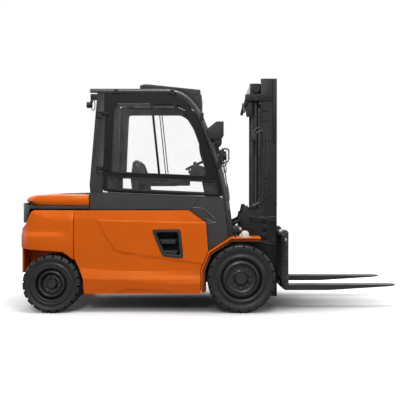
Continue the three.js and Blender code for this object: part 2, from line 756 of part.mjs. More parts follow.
function mastOuter() {
  const tieHalf = railHalf - railWeb / 2;
  const pieces = [
    box([560, -tieHalf, mastBottomZ + 3], [railX[0] + 5, tieHalf, mastBottomZ + 45]),
    box([524, -tieHalf, 640], [549, tieHalf, 1120]),
    box([484, -tieHalf, upperTieZ[0]], [509, tieHalf, upperTieZ[1]]),
  ];
  for (const [, side] of sides) {
    pieces.push(channel(side, railX, railHalf, railWeb, railFlange, railReach, [mastBottomZ, mastHeight]));
    pieces.push(plate([[railX[0] + 1, 620], [railX[0] + 1, 1250], [530, 1250], [500, 1296], [458, 1290],
      [438, 1200], [414, 1185], [410, 1010], [450, 960], [520, 900], [520, 620]],
    side * (railHalf - railWeb), side * railHalf));
    pieces.push(plate([[railX[0] + 1, 55], [railX[0] + 1, 125], [480, 125], [447, -5], [452, -35],
      [480, -35], [505, 35], [560, 55]].map(([x, z]) => [x, upperTieZ[0] + z]),
    side * (railHalf - railWeb), side * railHalf));
    const arm = plate([[railX[0] + 1 - frontAxleX, -215], [60, -140], [-60, -130], [-135, -55], [-135, 55],
      [-60, 133], [60, 141], [railX[0] + 1 - frontAxleX, 225]]
      .map(([x, z]) => [frontAxleX + x, frontAxleZ + z]), side * mastPivotHalf[0], side * mastPivotHalf[1]);
    const boreRadius = axleTubeRadius + pivotPlay;
    const boreY = [mastPivotHalf[0] - 30, mastPivotHalf[1] + 30];
    const bore = turned([[0, boreY[0]], [boreRadius, boreY[0]], [boreRadius, boreY[1]], [0, boreY[1]]], 32);
    const boreHere = side > 0 ? bore : mirrored(bore);
    pieces.push(arm.subtract(boreHere.translate(frontAxleX, 0, frontAxleZ)));
    pieces.push(clevis(side, tiltEye, [tiltEye[0] - 30, 530], 45));
    const barrel = bar([liftRodX, side * liftRodY, mastBottomZ + 44],
      [liftRodX, side * liftRodY, barrelTopZ], barrelRadius, 24);
    const bored = bar([liftRodX, side * liftRodY, mastBottomZ + 55],
      [liftRodX, side * liftRodY, barrelTopZ + 5], liftRodRadius + rodPlay, 24);
    pieces.push(barrel.subtract(bored));
    pieces.push(sideBox(side, [540, liftRodX - liftRodRadius - 12], [liftRodY - 30, liftRodY + 30],
      [700, 760]));
  }
  return join(...pieces);
}

const innerX = [railX[0] + railFlange + nestGap, railX[1] - railFlange - nestGap];
const innerHalf = railHalf - railWeb - nestGap;
const innerReach = 76;
const innerFlange = 20;

function mastInner() {
  const pieces = [
    box([535, 60 - railHalf, crossheadZ[0]], [665, railHalf - 60, crossheadZ[1]]),
    box([innerX[0] + 3, -innerHalf + 8, mastHeight - 345],
      [innerX[0] + 17, innerHalf - 8, mastHeight - 245]),
    box([innerX[0] + 3, -innerHalf + 8, 330], [innerX[0] + 17, innerHalf - 8, 430]),
  ];
  for (const [, side] of sides) {
    pieces.push(channel(side, innerX, innerHalf, 16, innerFlange, innerReach, [innerBottomZ, innerTopZ]));
    pieces.push(sideBox(side, [655, innerX[0] + 8],
      [innerHalf - innerReach + 3, railHalf - railReach - nestGap], [crossheadZ[0] + 5, crossheadZ[1] - 5]));
    pieces.push(bar([liftRodX, side * liftRodY, 300], [liftRodX, side * liftRodY, crossheadZ[0] + 1],
      liftRodRadius, 24));
  }
  return join(...pieces);
}

const rollerHalf = [innerHalf - innerReach - 30, innerHalf - 16 - nestGap];
const carriagePlateX = [forkFaceX - 110, forkFaceX - 75];
const carriageHalf = 700;
const carriageSideY = [railHalf - 134, railHalf - 106];

function carriage() {
  const pieces = [
    box([carriagePlateX[0], -carriageHalf, 850], [carriagePlateX[1], carriageHalf, 950]),
    box([carriagePlateX[0], -carriageHalf, 300], [carriagePlateX[1], carriageHalf, 400]),
  ];
  const rollerX = (innerX[0] + innerX[1]) / 2;
  const rollerRadius = (innerX[1] - innerX[0]) / 2 - innerFlange - seat;
  for (const [, side] of sides) {
    pieces.push(plate([[-175, 290], [-50, 290], [-50, 352], [3, 358], [3, 895], [-30, 905], [-30, 1040],
      [-175, 1040]].map(([x, z]) => [carriagePlateX[0] + x, z]),
    side * carriageSideY[0], side * carriageSideY[1]));
    for (const z of [350, 960]) {
      pieces.push(bar([rollerX, side * carriageSideY[0], z], [rollerX, side * rollerHalf[1], z],
        rollerRadius));
    }
    for (const y of [carriageHalf - 40, 520, carriageSideY[0] + 14]) {
      pieces.push(sideBox(side, [carriagePlateX[0] + 2, carriagePlateX[1] - 2], [y - 18, y + 18],
        [395, 855]));
    }
  }
  return join(...pieces);
}

const forkY = 395;
const forkHalfWidth = 75;
const forkThickness = 70;
const forkBottomZ = 234;
const forkTopZ = 987;
const tipThickness = 18;
const taperStart = 505;
const hookGap = 1.5;

// an L of shank and blade, flat on top, with hooks over the two carriage bars
function fork(side) {
  const backX = forkFaceX - forkThickness;
  const bladeTopZ = forkBottomZ + forkThickness;
  const width = [side * (forkY - forkHalfWidth), side * (forkY + forkHalfWidth)];
  const blade = plate([[backX, forkTopZ], [forkFaceX - 22, forkTopZ], [forkFaceX, forkTopZ - 22],
    [forkFaceX, bladeTopZ], [forkTipX, bladeTopZ], [forkTipX, bladeTopZ - tipThickness],
    [forkFaceX + taperStart, forkBottomZ], [backX + 30, forkBottomZ], [backX, forkBottomZ + 16]], ...width);
  const upperHook = plate([[backX + 1, forkTopZ], [carriagePlateX[0] - 20, forkTopZ],
    [carriagePlateX[0] - 20, 925], [carriagePlateX[0] - hookGap, 925],
    [carriagePlateX[0] - hookGap, 950 + seat], [backX + 1, 950 + seat]], ...width);
  const lowerHook = plate([[backX + 1, 300 - hookGap], [carriagePlateX[0] - hookGap, 300 - hookGap],
    [carriagePlateX[0] - hookGap, 342], [carriagePlateX[0] - 25, 342], [carriagePlateX[0] - 25, 308],
    [backX, forkBottomZ + 16], [backX + 1, forkBottomZ + 16]], ...width);
  const cornerTrim = Math.min(40, forkHalfWidth);
  const tipPlan = slab([[870, forkY - forkHalfWidth - 1], [forkTipX - 90, forkY - forkHalfWidth - 1],
    [forkTipX + 1, forkY - forkHalfWidth + cornerTrim], [forkTipX + 1, forkY + forkHalfWidth - cornerTrim],
    [forkTipX - 90, forkY + forkHalfWidth + 1], [870, forkY + forkHalfWidth + 1]]
    .map(([x, y]) => [x, side * y]), forkBottomZ - 1, forkTopZ + 1);
  return join(blade, upperHook, lowerHook).intersect(tipPlan);
}

add('mast_outer', mastOuter(), mastBlack);
add('mast_inner', mastInner(), mastBlack);
add('carriage', carriage(), mastBlack);
for (const [name, side] of sides) {
  add(`fork_${name}`, fork(side), mastBlack);
}

// ---------------------------------------------------------------- tilt cylinders

const tiltReach = Math.hypot(tiltEye[0] - tiltPivot[0], tiltEye[1] - tiltPivot[1]);
const tiltAngle = Math.atan2(tiltEye[1] - tiltPivot[1], tiltEye[0] - tiltPivot[0]);
const tiltBarrelLength = 470;
const tiltBarrelRadius = 42;
const tiltRodRadius = 22;
const tiltRodInside = 170;

// a solid modelled along +X from the tilt pivot, turned onto the cylinder's line
function onTiltLine(side, body) {
  const geometry = geometryOf(body);
  geometry.rotateY(-tiltAngle);
  geometry.translate(tiltPivot[0], side * tiltCylinderY, tiltPivot[1]);
  return solid(geometry);
}

// the eye at an end of the cylinder, with its bore
function eyeRing(x, play) {
  const outer = tiltPinRadius + play + 14;
  const half = tiltEyeWidth / 2;
  const ring = turned([[0, -half], [outer, -half], [outer, half], [0, half]], 24);
  return ring.translate(x, 0, 0);
}

function eyeBore(x, play) {
  const reach = tiltEyeWidth;
  const hole = turned([[0, -reach], [tiltPinRadius + play, -reach], [tiltPinRadius + play, reach],
    [0, reach]], 24);
  return hole.translate(x, 0, 0);
}

function tiltBarrel() {
  const body = join(eyeRing(0, 1), bar([28, 0, 0], [70, 0, 0], 18, 24),
    bar([69, 0, 0], [tiltBarrelLength, 0, 0], tiltBarrelRadius, 24));
  const cavity = bar([100, 0, 0], [tiltBarrelLength + 5, 0, 0], tiltRodRadius + rodPlay, 24);
  return body.subtract(cavity).subtract(eyeBore(0, 1));
}

function tiltRod() {
  const body = join(eyeRing(tiltReach, tiltPlay),
    bar([tiltRodInside + 40, 0, 0], [tiltReach - 34, 0, 0], tiltRodRadius, 24));
  return body.subtract(eyeBore(tiltReach, tiltPlay));
}

for (const [name, side] of sides) {
  add(`tilt_cylinder_${name}`, onTiltLine(side, tiltBarrel()), mastBlack);
  add(`tilt_rod_${name}`, onTiltLine(side, tiltRod()), steel);
}

// ---------------------------------------------------------------- mast hoses

const hoseRadius = 8;
const hoseClamps = [2124, 1650];

// a hose along the outside of the right mast rail, from the head to the foot fitting
function hose(lineX, archZ, startX, endX) {
  const y = -railHalf - hoseRadius - 4;
  const route = [[startX, y, 2150], [startX + 20, y, archZ - 40], [(startX + lineX) / 2, y, archZ],
    [lineX - 12, y, archZ - 40], [lineX, y, 2120], [lineX, y, 1640], [lineX - 4, y, 1480],
    [lineX - 50, y, 1360], [endX, y, 1290]];
  const path = new THREE.CatmullRomCurve3(route.map((p) => new THREE.Vector3(...p)), false, 'centripetal');
  const section = new THREE.Shape();
  section.absarc(0, 0, hoseRadius, 0, 2 * Math.PI);
  const geometry = new THREE.ExtrudeGeometry(section, {
    steps: 24, curveSegments: 4, extrudePath: path, bevelEnabled: false,
  });
  return solid(geometry);
}

function mastHoses() {
  const y = [railHalf + seat, railHalf + 2 * hoseRadius + 10];
  const pieces = [hose(709, 2276, 566, 560), hose(742, 2238, 590, 584)];
  pieces.push(sideBox(-1, [545, 612], y, [2110, 2160]));
  pieces.push(sideBox(-1, [520, 600], y, [1250, 1300]));
  for (const z of hoseClamps) {
    pieces.push(sideBox(-1, [694, 757], y, [z - 14, z + 14]));
  }
  return join(...pieces);
}

add('mast_hoses', mastHoses(), rubber);

export default forklift;
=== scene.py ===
import math

import bpy
from mathutils import Matrix, Vector


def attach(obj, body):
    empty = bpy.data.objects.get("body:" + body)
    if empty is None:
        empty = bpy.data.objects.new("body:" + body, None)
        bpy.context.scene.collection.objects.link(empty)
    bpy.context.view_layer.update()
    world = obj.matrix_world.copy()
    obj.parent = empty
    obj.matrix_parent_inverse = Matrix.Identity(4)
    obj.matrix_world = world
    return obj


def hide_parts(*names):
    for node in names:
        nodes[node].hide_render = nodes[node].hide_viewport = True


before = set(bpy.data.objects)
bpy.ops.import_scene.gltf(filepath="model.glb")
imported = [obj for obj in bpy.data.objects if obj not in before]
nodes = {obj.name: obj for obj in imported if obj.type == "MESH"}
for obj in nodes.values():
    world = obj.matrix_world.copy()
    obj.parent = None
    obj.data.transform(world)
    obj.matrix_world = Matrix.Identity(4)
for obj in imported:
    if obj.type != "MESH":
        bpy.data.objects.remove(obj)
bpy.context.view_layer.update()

SIDES = {"left": 1, "right": -1}


# ---------------------------------------------------------------- studio
# A pale sweep of floor under even white light, seen level from the machine's right side at a
# driver's eye height. The floor runs out to plain white and keeps the shadow under the machine,
# and its colour is also painted dark under and around the machine, a painted shadow.

EYE = (0.0515, -8.0, 1.53)

lens = bpy.data.cameras.new("studio_camera")
lens.sensor_width = 36
lens.lens = 53.96
lens.shift_x = -0.03
lens.shift_y = -0.0325
lens.clip_end = 200
camera = bpy.data.objects.new("studio_camera", lens)
camera.location = EYE
camera.rotation_euler = (math.radians(90), 0, 0)
bpy.context.scene.collection.objects.link(camera)
bpy.context.scene.camera = camera
bpy.context.scene.view_settings.view_transform = "Standard"


class Wire:
    """One output socket of a finish. Arithmetic on it adds Math nodes."""

    def __init__(self, finish, socket):
        self.finish, self.socket = finish, socket

    def maths(self, operation, *values):
        settings = {"operation": operation}
        return self.finish.node("Math", settings, dict(enumerate(values)))

    def __add__(self, other):
        return self.maths("ADD", self, other)

    def __sub__(self, other):
        return self.maths("SUBTRACT", self, other)

    def __rsub__(self, other):
        return self.maths("SUBTRACT", other, self)

    def __mul__(self, other):
        return self.maths("MULTIPLY", self, other)

    def __truediv__(self, other):
        return self.maths("DIVIDE", self, other)

    def __gt__(self, other):
        return self.maths("GREATER_THAN", self, other)

    __radd__, __rmul__ = __add__, __mul__

    def fade(self, low, high, start=0.0, end=1.0):
        """Smoothly from start, where this is at low, to end, where it is at high."""
        settings = {"interpolation_type": "SMOOTHSTEP"}
        values = {0: self, 1: low, 2: high, 3: start, 4: end}
        return self.finish.node("MapRange", settings, values)


class Finish:
    """A material made of nodes, with one Principled shader."""

    def __init__(self, name, **constants):
        self.material = bpy.data.materials.new(name)
        self.material.use_nodes = True
        self.tree = self.material.node_tree
        self.shader = self.tree.nodes["Principled BSDF"]
        for socket, value in constants.items():
            self.shader.inputs[socket.replace("_", " ")].default_value = value

    def node(self, kind, settings=None, values=None, output=0):
        made = self.tree.nodes.new("ShaderNode" + kind)
        for setting, value in (settings or {}).items():
            if setting == "stops":
                ramp = made.color_ramp.elements
                for i, (place, colour) in enumerate(value):
                    stop = ramp[i] if i < 2 else ramp.new(place)
                    stop.position, stop.color = place, (*colour, 1)
            else:
                setattr(made, setting, value)
        for socket, value in (values or {}).items():
            if isinstance(value, Wire):
                self.tree.links.new(value.socket, made.inputs[socket])
            else:
                made.inputs[socket].default_value = value
        return Wire(self, made.outputs[output])

    def feed(self, **links):
        """Links wires to the shader's own sockets."""
        for socket, wire in links.items():
            self.tree.links.new(wire.socket, self.shader.inputs[socket.replace("_", " ")])

    def place(self, stretch=(1, 1, 1)):
        """Object coordinates in metres, stretched along each axis."""
        bare = self.node("TexCoord", output=3)
        return self.node("Mapping", None, {"Vector": bare, "Scale": stretch})

    def noise(self, scale, detail=3.0, roughness=0.55, stretch=(1, 1, 1)):
        values = {"Vector": self.place(stretch), "Scale": scale, "Detail": detail,
                  "Roughness": roughness}
        return self.node("TexNoise", None, values)

    def height(self):
        """Height above the floor in metres."""
        return self.node("SeparateXYZ", None, {0: self.node("TexCoord", output=3)}, output=2)

    def tint(self, factor, colour, other):
        """From one colour to another by a factor; either may be a wire."""
        whole = [c if isinstance(c, Wire) else (*c, 1) for c in (colour, other)]
        values = {0: factor, 6: whole[0], 7: whole[1]}
        return self.node("Mix", {"data_type": "RGBA"}, values, output=2)

    def bump(self, height, strength, distance=0.001):
        values = {"Height": height, "Strength": strength, "Distance": distance}
        self.feed(Normal=self.node("Bump", None, values))


sweep = Finish("studio_floor", Roughness=1.0)
rays = sweep.node("LightPath")
across = sweep.node("Mapping", None, {"Vector": sweep.node("TexCoord", output=3),
                                      "Location": (-0.066, 0, 0), "Scale": (0.22, 0.55, 1)})
near = sweep.node("VectorMath", {"operation": "LENGTH"}, {0: across}, output=1)
grain = sweep.noise(3.0)
# Painted shadow: the floor's colour is 0.15 to 0.17 close under the machine and fades to 0.88 away from
# it, and a glow seen only by the camera whitens the floor further out.
painted_shadow_tone = sweep.tint(grain, (0.15, 0.15, 0.15), (0.17, 0.17, 0.17))
floor_with_painted_shadow = sweep.tint(near.fade(0.12, 0.58), painted_shadow_tone, (0.88, 0.88, 0.88))
sweep.feed(Base_Color=sweep.tint(rays, (0.30, 0.30, 0.30), floor_with_painted_shadow))
open_floor = near.fade(0.55, 1.35, 0.0, 0.42) * rays
sweep.shader.inputs["Emission Color"].default_value = (1, 1, 1, 1)
sweep.tree.links.new(open_floor.socket, sweep.shader.inputs["Emission Strength"])

bpy.ops.object.select_all(action="DESELECT")
bpy.ops.mesh.primitive_plane_add(size=80)
floor = bpy.context.object
floor.name = "studio_floor"
floor.data.materials.append(sweep.material)

sky = bpy.data.worlds.new("studio_white")
bpy.context.scene.world = sky
sky.use_nodes = True
tree = sky.node_tree
light = tree.nodes["Background"]
light.inputs["Color"].default_value = (1, 1, 1, 1)
paths = tree.nodes.new("ShaderNodeLightPath")
seen = tree.nodes.new("ShaderNodeMath")
seen.operation = "MAXIMUM"
through = tree.nodes.new("ShaderNodeMath")
through.operation = "MAXIMUM"
bearing = tree.nodes.new("ShaderNodeTexCoord")
upward = tree.nodes.new("ShaderNodeSeparateXYZ")
tree.links.new(bearing.outputs["Generated"], upward.inputs[0])
dome_level = tree.nodes.new("ShaderNodeMapRange")
tree.links.new(upward.outputs["Z"], dome_level.inputs["Value"])
for socket, value in (("From Min", -0.1), ("From Max", 0.9), ("To Min", 0.12), ("To Max", 1.15)):
    dome_level.inputs[socket].default_value = value
tree.links.new(paths.outputs["Is Camera Ray"], seen.inputs[0])
tree.links.new(paths.outputs["Is Transmission Ray"], seen.inputs[1])
tree.links.new(seen.outputs[0], through.inputs[0])
tree.links.new(paths.outputs["Is Glossy Ray"], through.inputs[1])
level = tree.nodes.new("ShaderNodeMapRange")
tree.links.new(through.outputs[0], level.inputs["Value"])
tree.links.new(dome_level.outputs[0], level.inputs["To Min"])
level.inputs["To Max"].default_value = 1.0
tree.links.new(level.outputs[0], light.inputs["Strength"])

for name, place, size, power in (("key", (-1.5, -9.0, 6.5), 1.8, 300),
                                 ("top", (0.5, -3.2, 8.0), 3.0, 260),
                                 ("front", (7.0, -2.0, 4.5), 4.0, 90),
                                 ("back", (-2.0, 6.5, 6.0), 5.0, 220)):
    lamp = bpy.data.lights.new("studio_" + name, "AREA")
    lamp.shape, lamp.size, lamp.energy = "DISK", size, power
    holder = bpy.data.objects.new("studio_" + name, lamp)
    holder.location = place
    aim = Vector((0, 0, 1.0)) - Vector(place)
    holder.rotation_euler = aim.to_track_quat("-Z", "Y").to_euler()
    bpy.context.scene.collection.objects.link(holder)


# ---------------------------------------------------------------- chassis and battery
# A welded tub of thick steel plate, painted black, with a spine that reaches back under the
# counterweight, whose last stretch is sprayed in the body colour. The battery is a steel crate
# that fills the tub.


def only(*pieces):
    """Selects these pieces and nothing else, the last one active."""
    bpy.ops.object.select_all(action="DESELECT")
    for piece in pieces:
        piece.select_set(True)
    bpy.context.view_layer.objects.active = pieces[-1]


def worked(piece, kind, **settings):
    """Puts a modifier with its settings on a piece and applies it."""
    only(piece)
    tool = piece.modifiers.new(kind.lower(), kind)
    for setting, value in settings.items():
        setattr(tool, setting, value)
    bpy.ops.object.modifier_apply(modifier=tool.name)


def softened(piece, width, segments=2, sharp=30, smooth=24):
    """Rounds the sharp edges of a piece, and shades what is nearly level smoothly."""
    if width:
        worked(piece, "BEVEL", width=width, segments=segments, limit_method="ANGLE",
               angle_limit=math.radians(sharp))
    only(piece)
    bpy.ops.object.shade_smooth_by_angle(angle=math.radians(smooth))
    return piece


def whole(node, name):
    """A copy of a CAD node with its triangles merged into whole flat faces."""
    piece = bpy.data.objects.new(name, nodes[node].data.copy())
    bpy.context.scene.collection.objects.link(piece)
    piece.data.materials.clear()
    only(piece)
    bpy.ops.object.mode_set(mode="EDIT")
    bpy.ops.mesh.select_all(action="SELECT")
    bpy.ops.mesh.remove_doubles(threshold=0.00005)
    bpy.ops.mesh.customdata_custom_splitnormals_clear()
    bpy.ops.mesh.dissolve_limited(angle_limit=math.radians(1))
    bpy.ops.object.mode_set(mode="OBJECT")
    return piece


def coated(name, colour, roughness, skin=420.0, relief=0.25, drift=0.08, dusty=0.10, **constants):
    """A coat over metal or plastic: tone that drifts a little, a fine skin, dust that lies low."""
    coat = Finish(name, **{"Specular_IOR_Level": 0.22, **constants})
    broad = coat.noise(2.4, 4.0)
    darker, lighter = ([c * (1 + share * drift) for c in colour] for share in (-1, 1))
    tone = coat.tint(broad.fade(0.35, 0.65), darker, lighter)
    dust = coat.height().fade(0.9, 0.15, 0.0, dusty) * coat.noise(7.0, 6.0, 0.7).fade(0.4, 0.7)
    coat.feed(Base_Color=coat.tint(dust, tone, (0.22, 0.19, 0.15)),
              Roughness=broad.fade(0.3, 0.7, roughness - 0.04, roughness + 0.04) + dust * 0.5)
    coat.bump(coat.noise(skin, 2.0), relief, 0.0004)
    return coat


chassis_coat = coated("chassis_black", (0.020, 0.020, 0.021), 0.5)
at_tail = chassis_coat.node("SeparateXYZ", None, {0: chassis_coat.node("TexCoord", output=3)})
black = chassis_coat.shader.inputs["Base Color"].links[0].from_socket
chassis_coat.feed(Base_Color=chassis_coat.tint(
    at_tail.fade(-1.60, -1.61), Wire(chassis_coat, black), (0.52, 0.085, 0.008)))

chassis = softened(whole("chassis_frame", "chassis_weldment"), 0.003)
chassis.data.materials.append(chassis_coat.material)
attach(chassis, "root")
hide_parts("chassis_frame")

crate_coat = coated("battery_crate_grey", (0.045, 0.046, 0.048), 0.55, skin=160.0)
crate = softened(whole("battery", "battery_crate"), 0.008)
crate.data.materials.append(crate_coat.material)
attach(crate, "root")
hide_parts("battery")


# ---------------------------------------------------------------- counterweight
# One iron casting, ground and sprayed in the body colour. Its upper part stands in behind a
# ledge that dies away towards the front, and it hangs on the chassis spine.


def sliced(piece, cuts):
    """Scores a piece right through along planes, each given by a point and its normal."""
    only(piece)
    bpy.ops.object.mode_set(mode="EDIT")
    for point, normal in cuts:
        bpy.ops.mesh.select_all(action="SELECT")
        bpy.ops.mesh.bisect(plane_co=point, plane_no=normal)
    bpy.ops.object.mode_set(mode="OBJECT")


def eased(value, low, high):
    """0 below low, 1 above high, and a soft step between."""
    t = min(max((value - low) / (high - low), 0.0), 1.0)
    return t * t * (3 - 2 * t)


ORANGE = (0.60, 0.098, 0.0045)
SHEEN = {"Specular_IOR_Level": 0.42, "Specular_Tint": (1.0, 0.58, 0.22, 1.0)}
cast_orange = coated("cast_orange", ORANGE, 0.36, skin=90.0, relief=0.12, drift=0.03, dusty=0.05,
                     **SHEEN)

LEDGE_Z = 0.931
LEDGE_DEPTH = 0.036

casting = whole("counterweight", "counterweight_casting")
levels = [LEDGE_Z, LEDGE_Z + 0.026, LEDGE_Z + 0.052, 1.03, 1.10, 1.137, 1.17, 1.21]
stations = [-1.66, -1.70, -1.75, -1.82, -1.90, -2.0, -2.1, -2.17, -2.23, -2.29, -2.34]
sliced(casting, [((0, 0, z), (0, 0, 1)) for z in levels] + [((x, 0, 0), (1, 0, 0)) for x in stations])
for corner in casting.data.vertices:
    x, y, z = corner.co
    lens = eased(-x, 1.67, 1.92)
    inward = LEDGE_DEPTH * lens * eased(z, LEDGE_Z, LEDGE_Z + 0.052)
    if inward and abs(y) > 0.2:
        corner.co.y -= math.copysign(inward * eased(abs(y), 0.2, 0.5), y)
softened(casting, 0.008, 3, sharp=26, smooth=26)
casting.data.materials.append(cast_orange.material)
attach(casting, "root")
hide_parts("counterweight")


# ---------------------------------------------------------------- tail band and hood
# The dark band round the tail is a satin moulding. The hood over the drive electronics is a
# pressed and painted shell with a dark crown panel let into its top, hinged at the cab.

tail_grey = coated("tail_grey", (0.040, 0.041, 0.043), 0.30, skin=260.0, relief=0.10)
band = softened(whole("rear_trim", "tail_band"), 0.005, 3)
band.data.materials.append(tail_grey.material)
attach(band, "root")
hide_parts("rear_trim")

panel_orange = coated("panel_orange", ORANGE, 0.34, skin=520.0, relief=0.10, drift=0.025, dusty=0.06,
                      **SHEEN)
hood = softened(whole("rear_hood", "hood_shell"), 0.004, 2, sharp=40, smooth=32)
hood.data.materials.append(panel_orange.material)
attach(hood, "rear_hood")
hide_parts("rear_hood")


def outlined(name, outline, low, high, along="y"):
    """A plate: a disc with a corner for each point of its outline, drawn out to it and extruded."""
    bpy.ops.object.select_all(action="DESELECT")
    bpy.ops.mesh.primitive_circle_add(vertices=len(outline), fill_type="NGON")
    piece = bpy.context.object
    piece.name = name
    for corner, (a, b) in zip(piece.data.vertices, outline):
        corner.co = {"x": (low, a, b), "y": (a, low, b), "z": (a, b, low)}[along]
    reach = {axis: high - low if axis == along else 0.0 for axis in "xyz"}
    bpy.ops.object.mode_set(mode="EDIT")
    bpy.ops.mesh.select_all(action="SELECT")
    bpy.ops.mesh.extrude_region_move(TRANSFORM_OT_translate={"value": tuple(reach.values())})
    bpy.ops.mesh.select_all(action="SELECT")
    bpy.ops.mesh.normals_make_consistent(inside=False)
    bpy.ops.object.mode_set(mode="OBJECT")
    return piece


CROWN = [(-1.463, 0.565), (-1.80, 0.565), (-1.97, 0.545), (-2.04, 0.40), (-2.065, 0.0)]
outline = CROWN + [(x, -y) for x, y in reversed(CROWN[:-1])]
crown = outlined("hood_crown_panel", outline, 1.40, 1.461, "z")
for corner in crown.data.vertices:
    if corner.co.z > 1.43:
        corner.co.z -= 0.034 * eased(-corner.co.x, 1.46, 2.10)
softened(crown, 0.006, 3)
crown.data.materials.append(tail_grey.material)
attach(crown, "rear_hood")


# ---------------------------------------------------------------- side panels
# Each flank is one pressed and painted panel. A slight fold runs along its shoulder, a raised
# field sweeps down and forward to the wheel arch, and a belt swells out near its foot.


def filleted(outline, radius, steps=5):
    """An outline with its corners rounded; a corner may name its own radius as a third number."""
    points = []
    for i, corner in enumerate(outline):
        here = Vector(corner[:2])
        before, after = (Vector(outline[(i + step) % len(outline)][:2]) for step in (-1, 1))
        back, ahead = before - here, after - here
        own = corner[2] if len(corner) > 2 else radius
        half = back.angle(ahead) / 2
        reach = min(own / math.tan(half), 0.49 * back.length, 0.49 * ahead.length) if own else 0
        if reach < 1e-5:
            points.append(tuple(here))
            continue
        start, end = here + back.normalized() * reach, here + ahead.normalized() * reach
        for step in range(steps + 1):
            t = step / steps
            points.append(tuple(start * (1 - t) ** 2 + here * 2 * t * (1 - t) + end * t ** 2))
    return points


def cut(piece, *cutters, mode="DIFFERENCE"):
    """Takes cutters out of a piece and throws them away."""
    for cutter in cutters:
        worked(piece, "BOOLEAN", object=cutter, operation=mode, solver="EXACT")
        bpy.data.objects.remove(cutter)


def side_line(a, b):
    """A cut through the machine along a line that is drawn on its side."""
    return (a[0], 0, a[1]), (a[1] - b[1], 0, b[0] - a[0])


def beyond(x, z, a, b):
    """How far a point of the side lies to the left of the line from a to b."""
    run = Vector(b) - Vector(a)
    return (run.x * (z - a[1]) - run.y * (x - a[0])) / run.length


PANEL_SEAM_X = -1.626
PANEL_OUTLINE = [(PANEL_SEAM_X, 1.245), (-0.235, 1.245, 0.03), (-0.022, 1.095, 0.03),
                 (0.004, 0.752, 0.02),
                 (-0.088, 0.532, 0.02), (-0.088, 0.234), (-1.501, 0.234), (-1.511, 0.420, 0.03),
                 (-1.575, 0.571, 0.03), (PANEL_SEAM_X, 0.668)]
FIELD = [(0.02, 0.570), (-1.090, 0.739), (-1.145, 0.775), (-1.242, 0.913), (-1.352, 1.137),
         (0.02, 1.106)]
FIELD_EDGE = 0.015
FIELD_RISE = 0.008
SHOULDER_Z = 1.137
BELT_TOP = [(-1.62, 0.551), (0.0, 0.468)]
BELT_FOOT = [(-1.62, 0.428), (0.0, 0.370)]
RECESS = [(-1.122, 0.22), (-1.112, 0.251), (-1.006, 0.306), (-0.522, 0.290), (-0.393, 0.251),
          (-0.383, 0.22)]
STEP_OUTLINE = [(-0.670, 1.005), (-0.340, 1.010), (-0.305, 0.671), (-0.541, 0.700)]


def belt_edge(line, x):
    (x0, z0), (x1, z1) = line
    return z0 + (z1 - z0) * (x - x0) / (x1 - x0)


def panel_y(x, z):
    """How far out the panel's skin stands at a place on the side."""
    top, foot = belt_edge(BELT_TOP, x), belt_edge(BELT_FOOT, x)
    if z > SHOULDER_Z:
        out = 0.728 - 0.011 * (z - SHOULDER_Z) / (1.245 - SHOULDER_Z)
    elif z > top:
        out = 0.728 - 0.010 * (SHOULDER_Z - z) / (SHOULDER_Z - top)
    elif z > foot:
        out = 0.718 + 0.032 * (top - z) / (top - foot)
    else:
        out = 0.750 - 0.020 * (foot - z) / (foot - 0.234)
    inside = min(beyond(x, z, b, a) for a, b in zip(FIELD, FIELD[1:]))
    return out + min(max(inside / FIELD_EDGE, 0.0), 1.0) * FIELD_RISE


def grown(outline, by):
    """An outline with its sides moved outwards."""
    points = []
    for i, corner in enumerate(outline):
        here = Vector(corner[:2])
        before, after = (Vector(outline[(i + step) % len(outline)][:2]) for step in (-1, 1))
        first, second = (here - before).normalized(), (after - here).normalized()
        away = (Vector((first.y, -first.x)) + Vector((second.y, -second.x))).normalized()
        share = by / max(away.dot(Vector((first.y, -first.x))), 0.3)
        points.append((*(here + away * share), *corner[2:]))
    return points


cuts = [((0, 0, SHOULDER_Z), (0, 0, 1)), side_line(*BELT_TOP), side_line(*BELT_FOOT)]
cuts += [((-1.40 + 0.05 * i, 0, 0), (1, 0, 0)) for i in range(29)]
cuts += [((0, 0, 0.26 + 0.05 * i), (0, 0, 1)) for i in range(19)]
for a, b in zip(FIELD, FIELD[1:]):
    inwards = Vector((b[1] - a[1], a[0] - b[0])).normalized() * FIELD_EDGE
    cuts += [side_line(a, b), side_line(Vector(a) + inwards, Vector(b) + inwards)]

for side, hand in SIDES.items():
    panel = outlined(f"side_panel_skin_{side}", filleted(PANEL_OUTLINE, 0.004, 3), 0.0, 0.05)
    sliced(panel, cuts)
    for corner in panel.data.vertices:
        x, depth, z = corner.co
        corner.co.y = hand * (panel_y(x, z) - depth)
    only(panel)
    bpy.ops.object.mode_set(mode="EDIT")
    bpy.ops.mesh.select_all(action="SELECT")
    bpy.ops.mesh.vert_connect_concave()
    bpy.ops.mesh.normals_make_consistent(inside=False)
    bpy.ops.object.mode_set(mode="OBJECT")
    opening = outlined("opening", filleted(grown(STEP_OUTLINE[::-1], 0.010), 0.042), hand * 0.6,
                       hand * 0.8)
    recess = outlined("recess", RECESS, hand * 0.6, hand * 0.8)
    for corner in recess.data.vertices:
        if abs(corner.co.y) < 0.7:
            corner.co.y = hand * (panel_y(corner.co.x,
                                          corner.co.z) - (0.012 if corner.co.z > 0.24 else 0.009))
            corner.co.z -= 0.010
    cut(panel, opening, recess)
    softened(panel, 0.0025, 2, sharp=40, smooth=6)
    panel.data.materials.append(panel_orange.material)
    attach(panel, "root")
    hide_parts(f"side_panel_{side}")


# ---------------------------------------------------------------- steps
# A moulded pocket in each flank takes the driver's foot. It has a broad rounded bezel, a deep
# dark well behind it and two ribbed treads of grey plastic, all screwed to the panel from inside.

well_black = coated("step_well_black", (0.006, 0.006, 0.0065), 0.75, skin=240.0, relief=0.5)
bezel_grey = coated("step_bezel_grey", (0.028, 0.029, 0.031), 0.38, skin=300.0, relief=0.35)
tread_grey = coated("step_tread_grey", (0.024, 0.024, 0.026), 0.6, skin=300.0, relief=0.5)


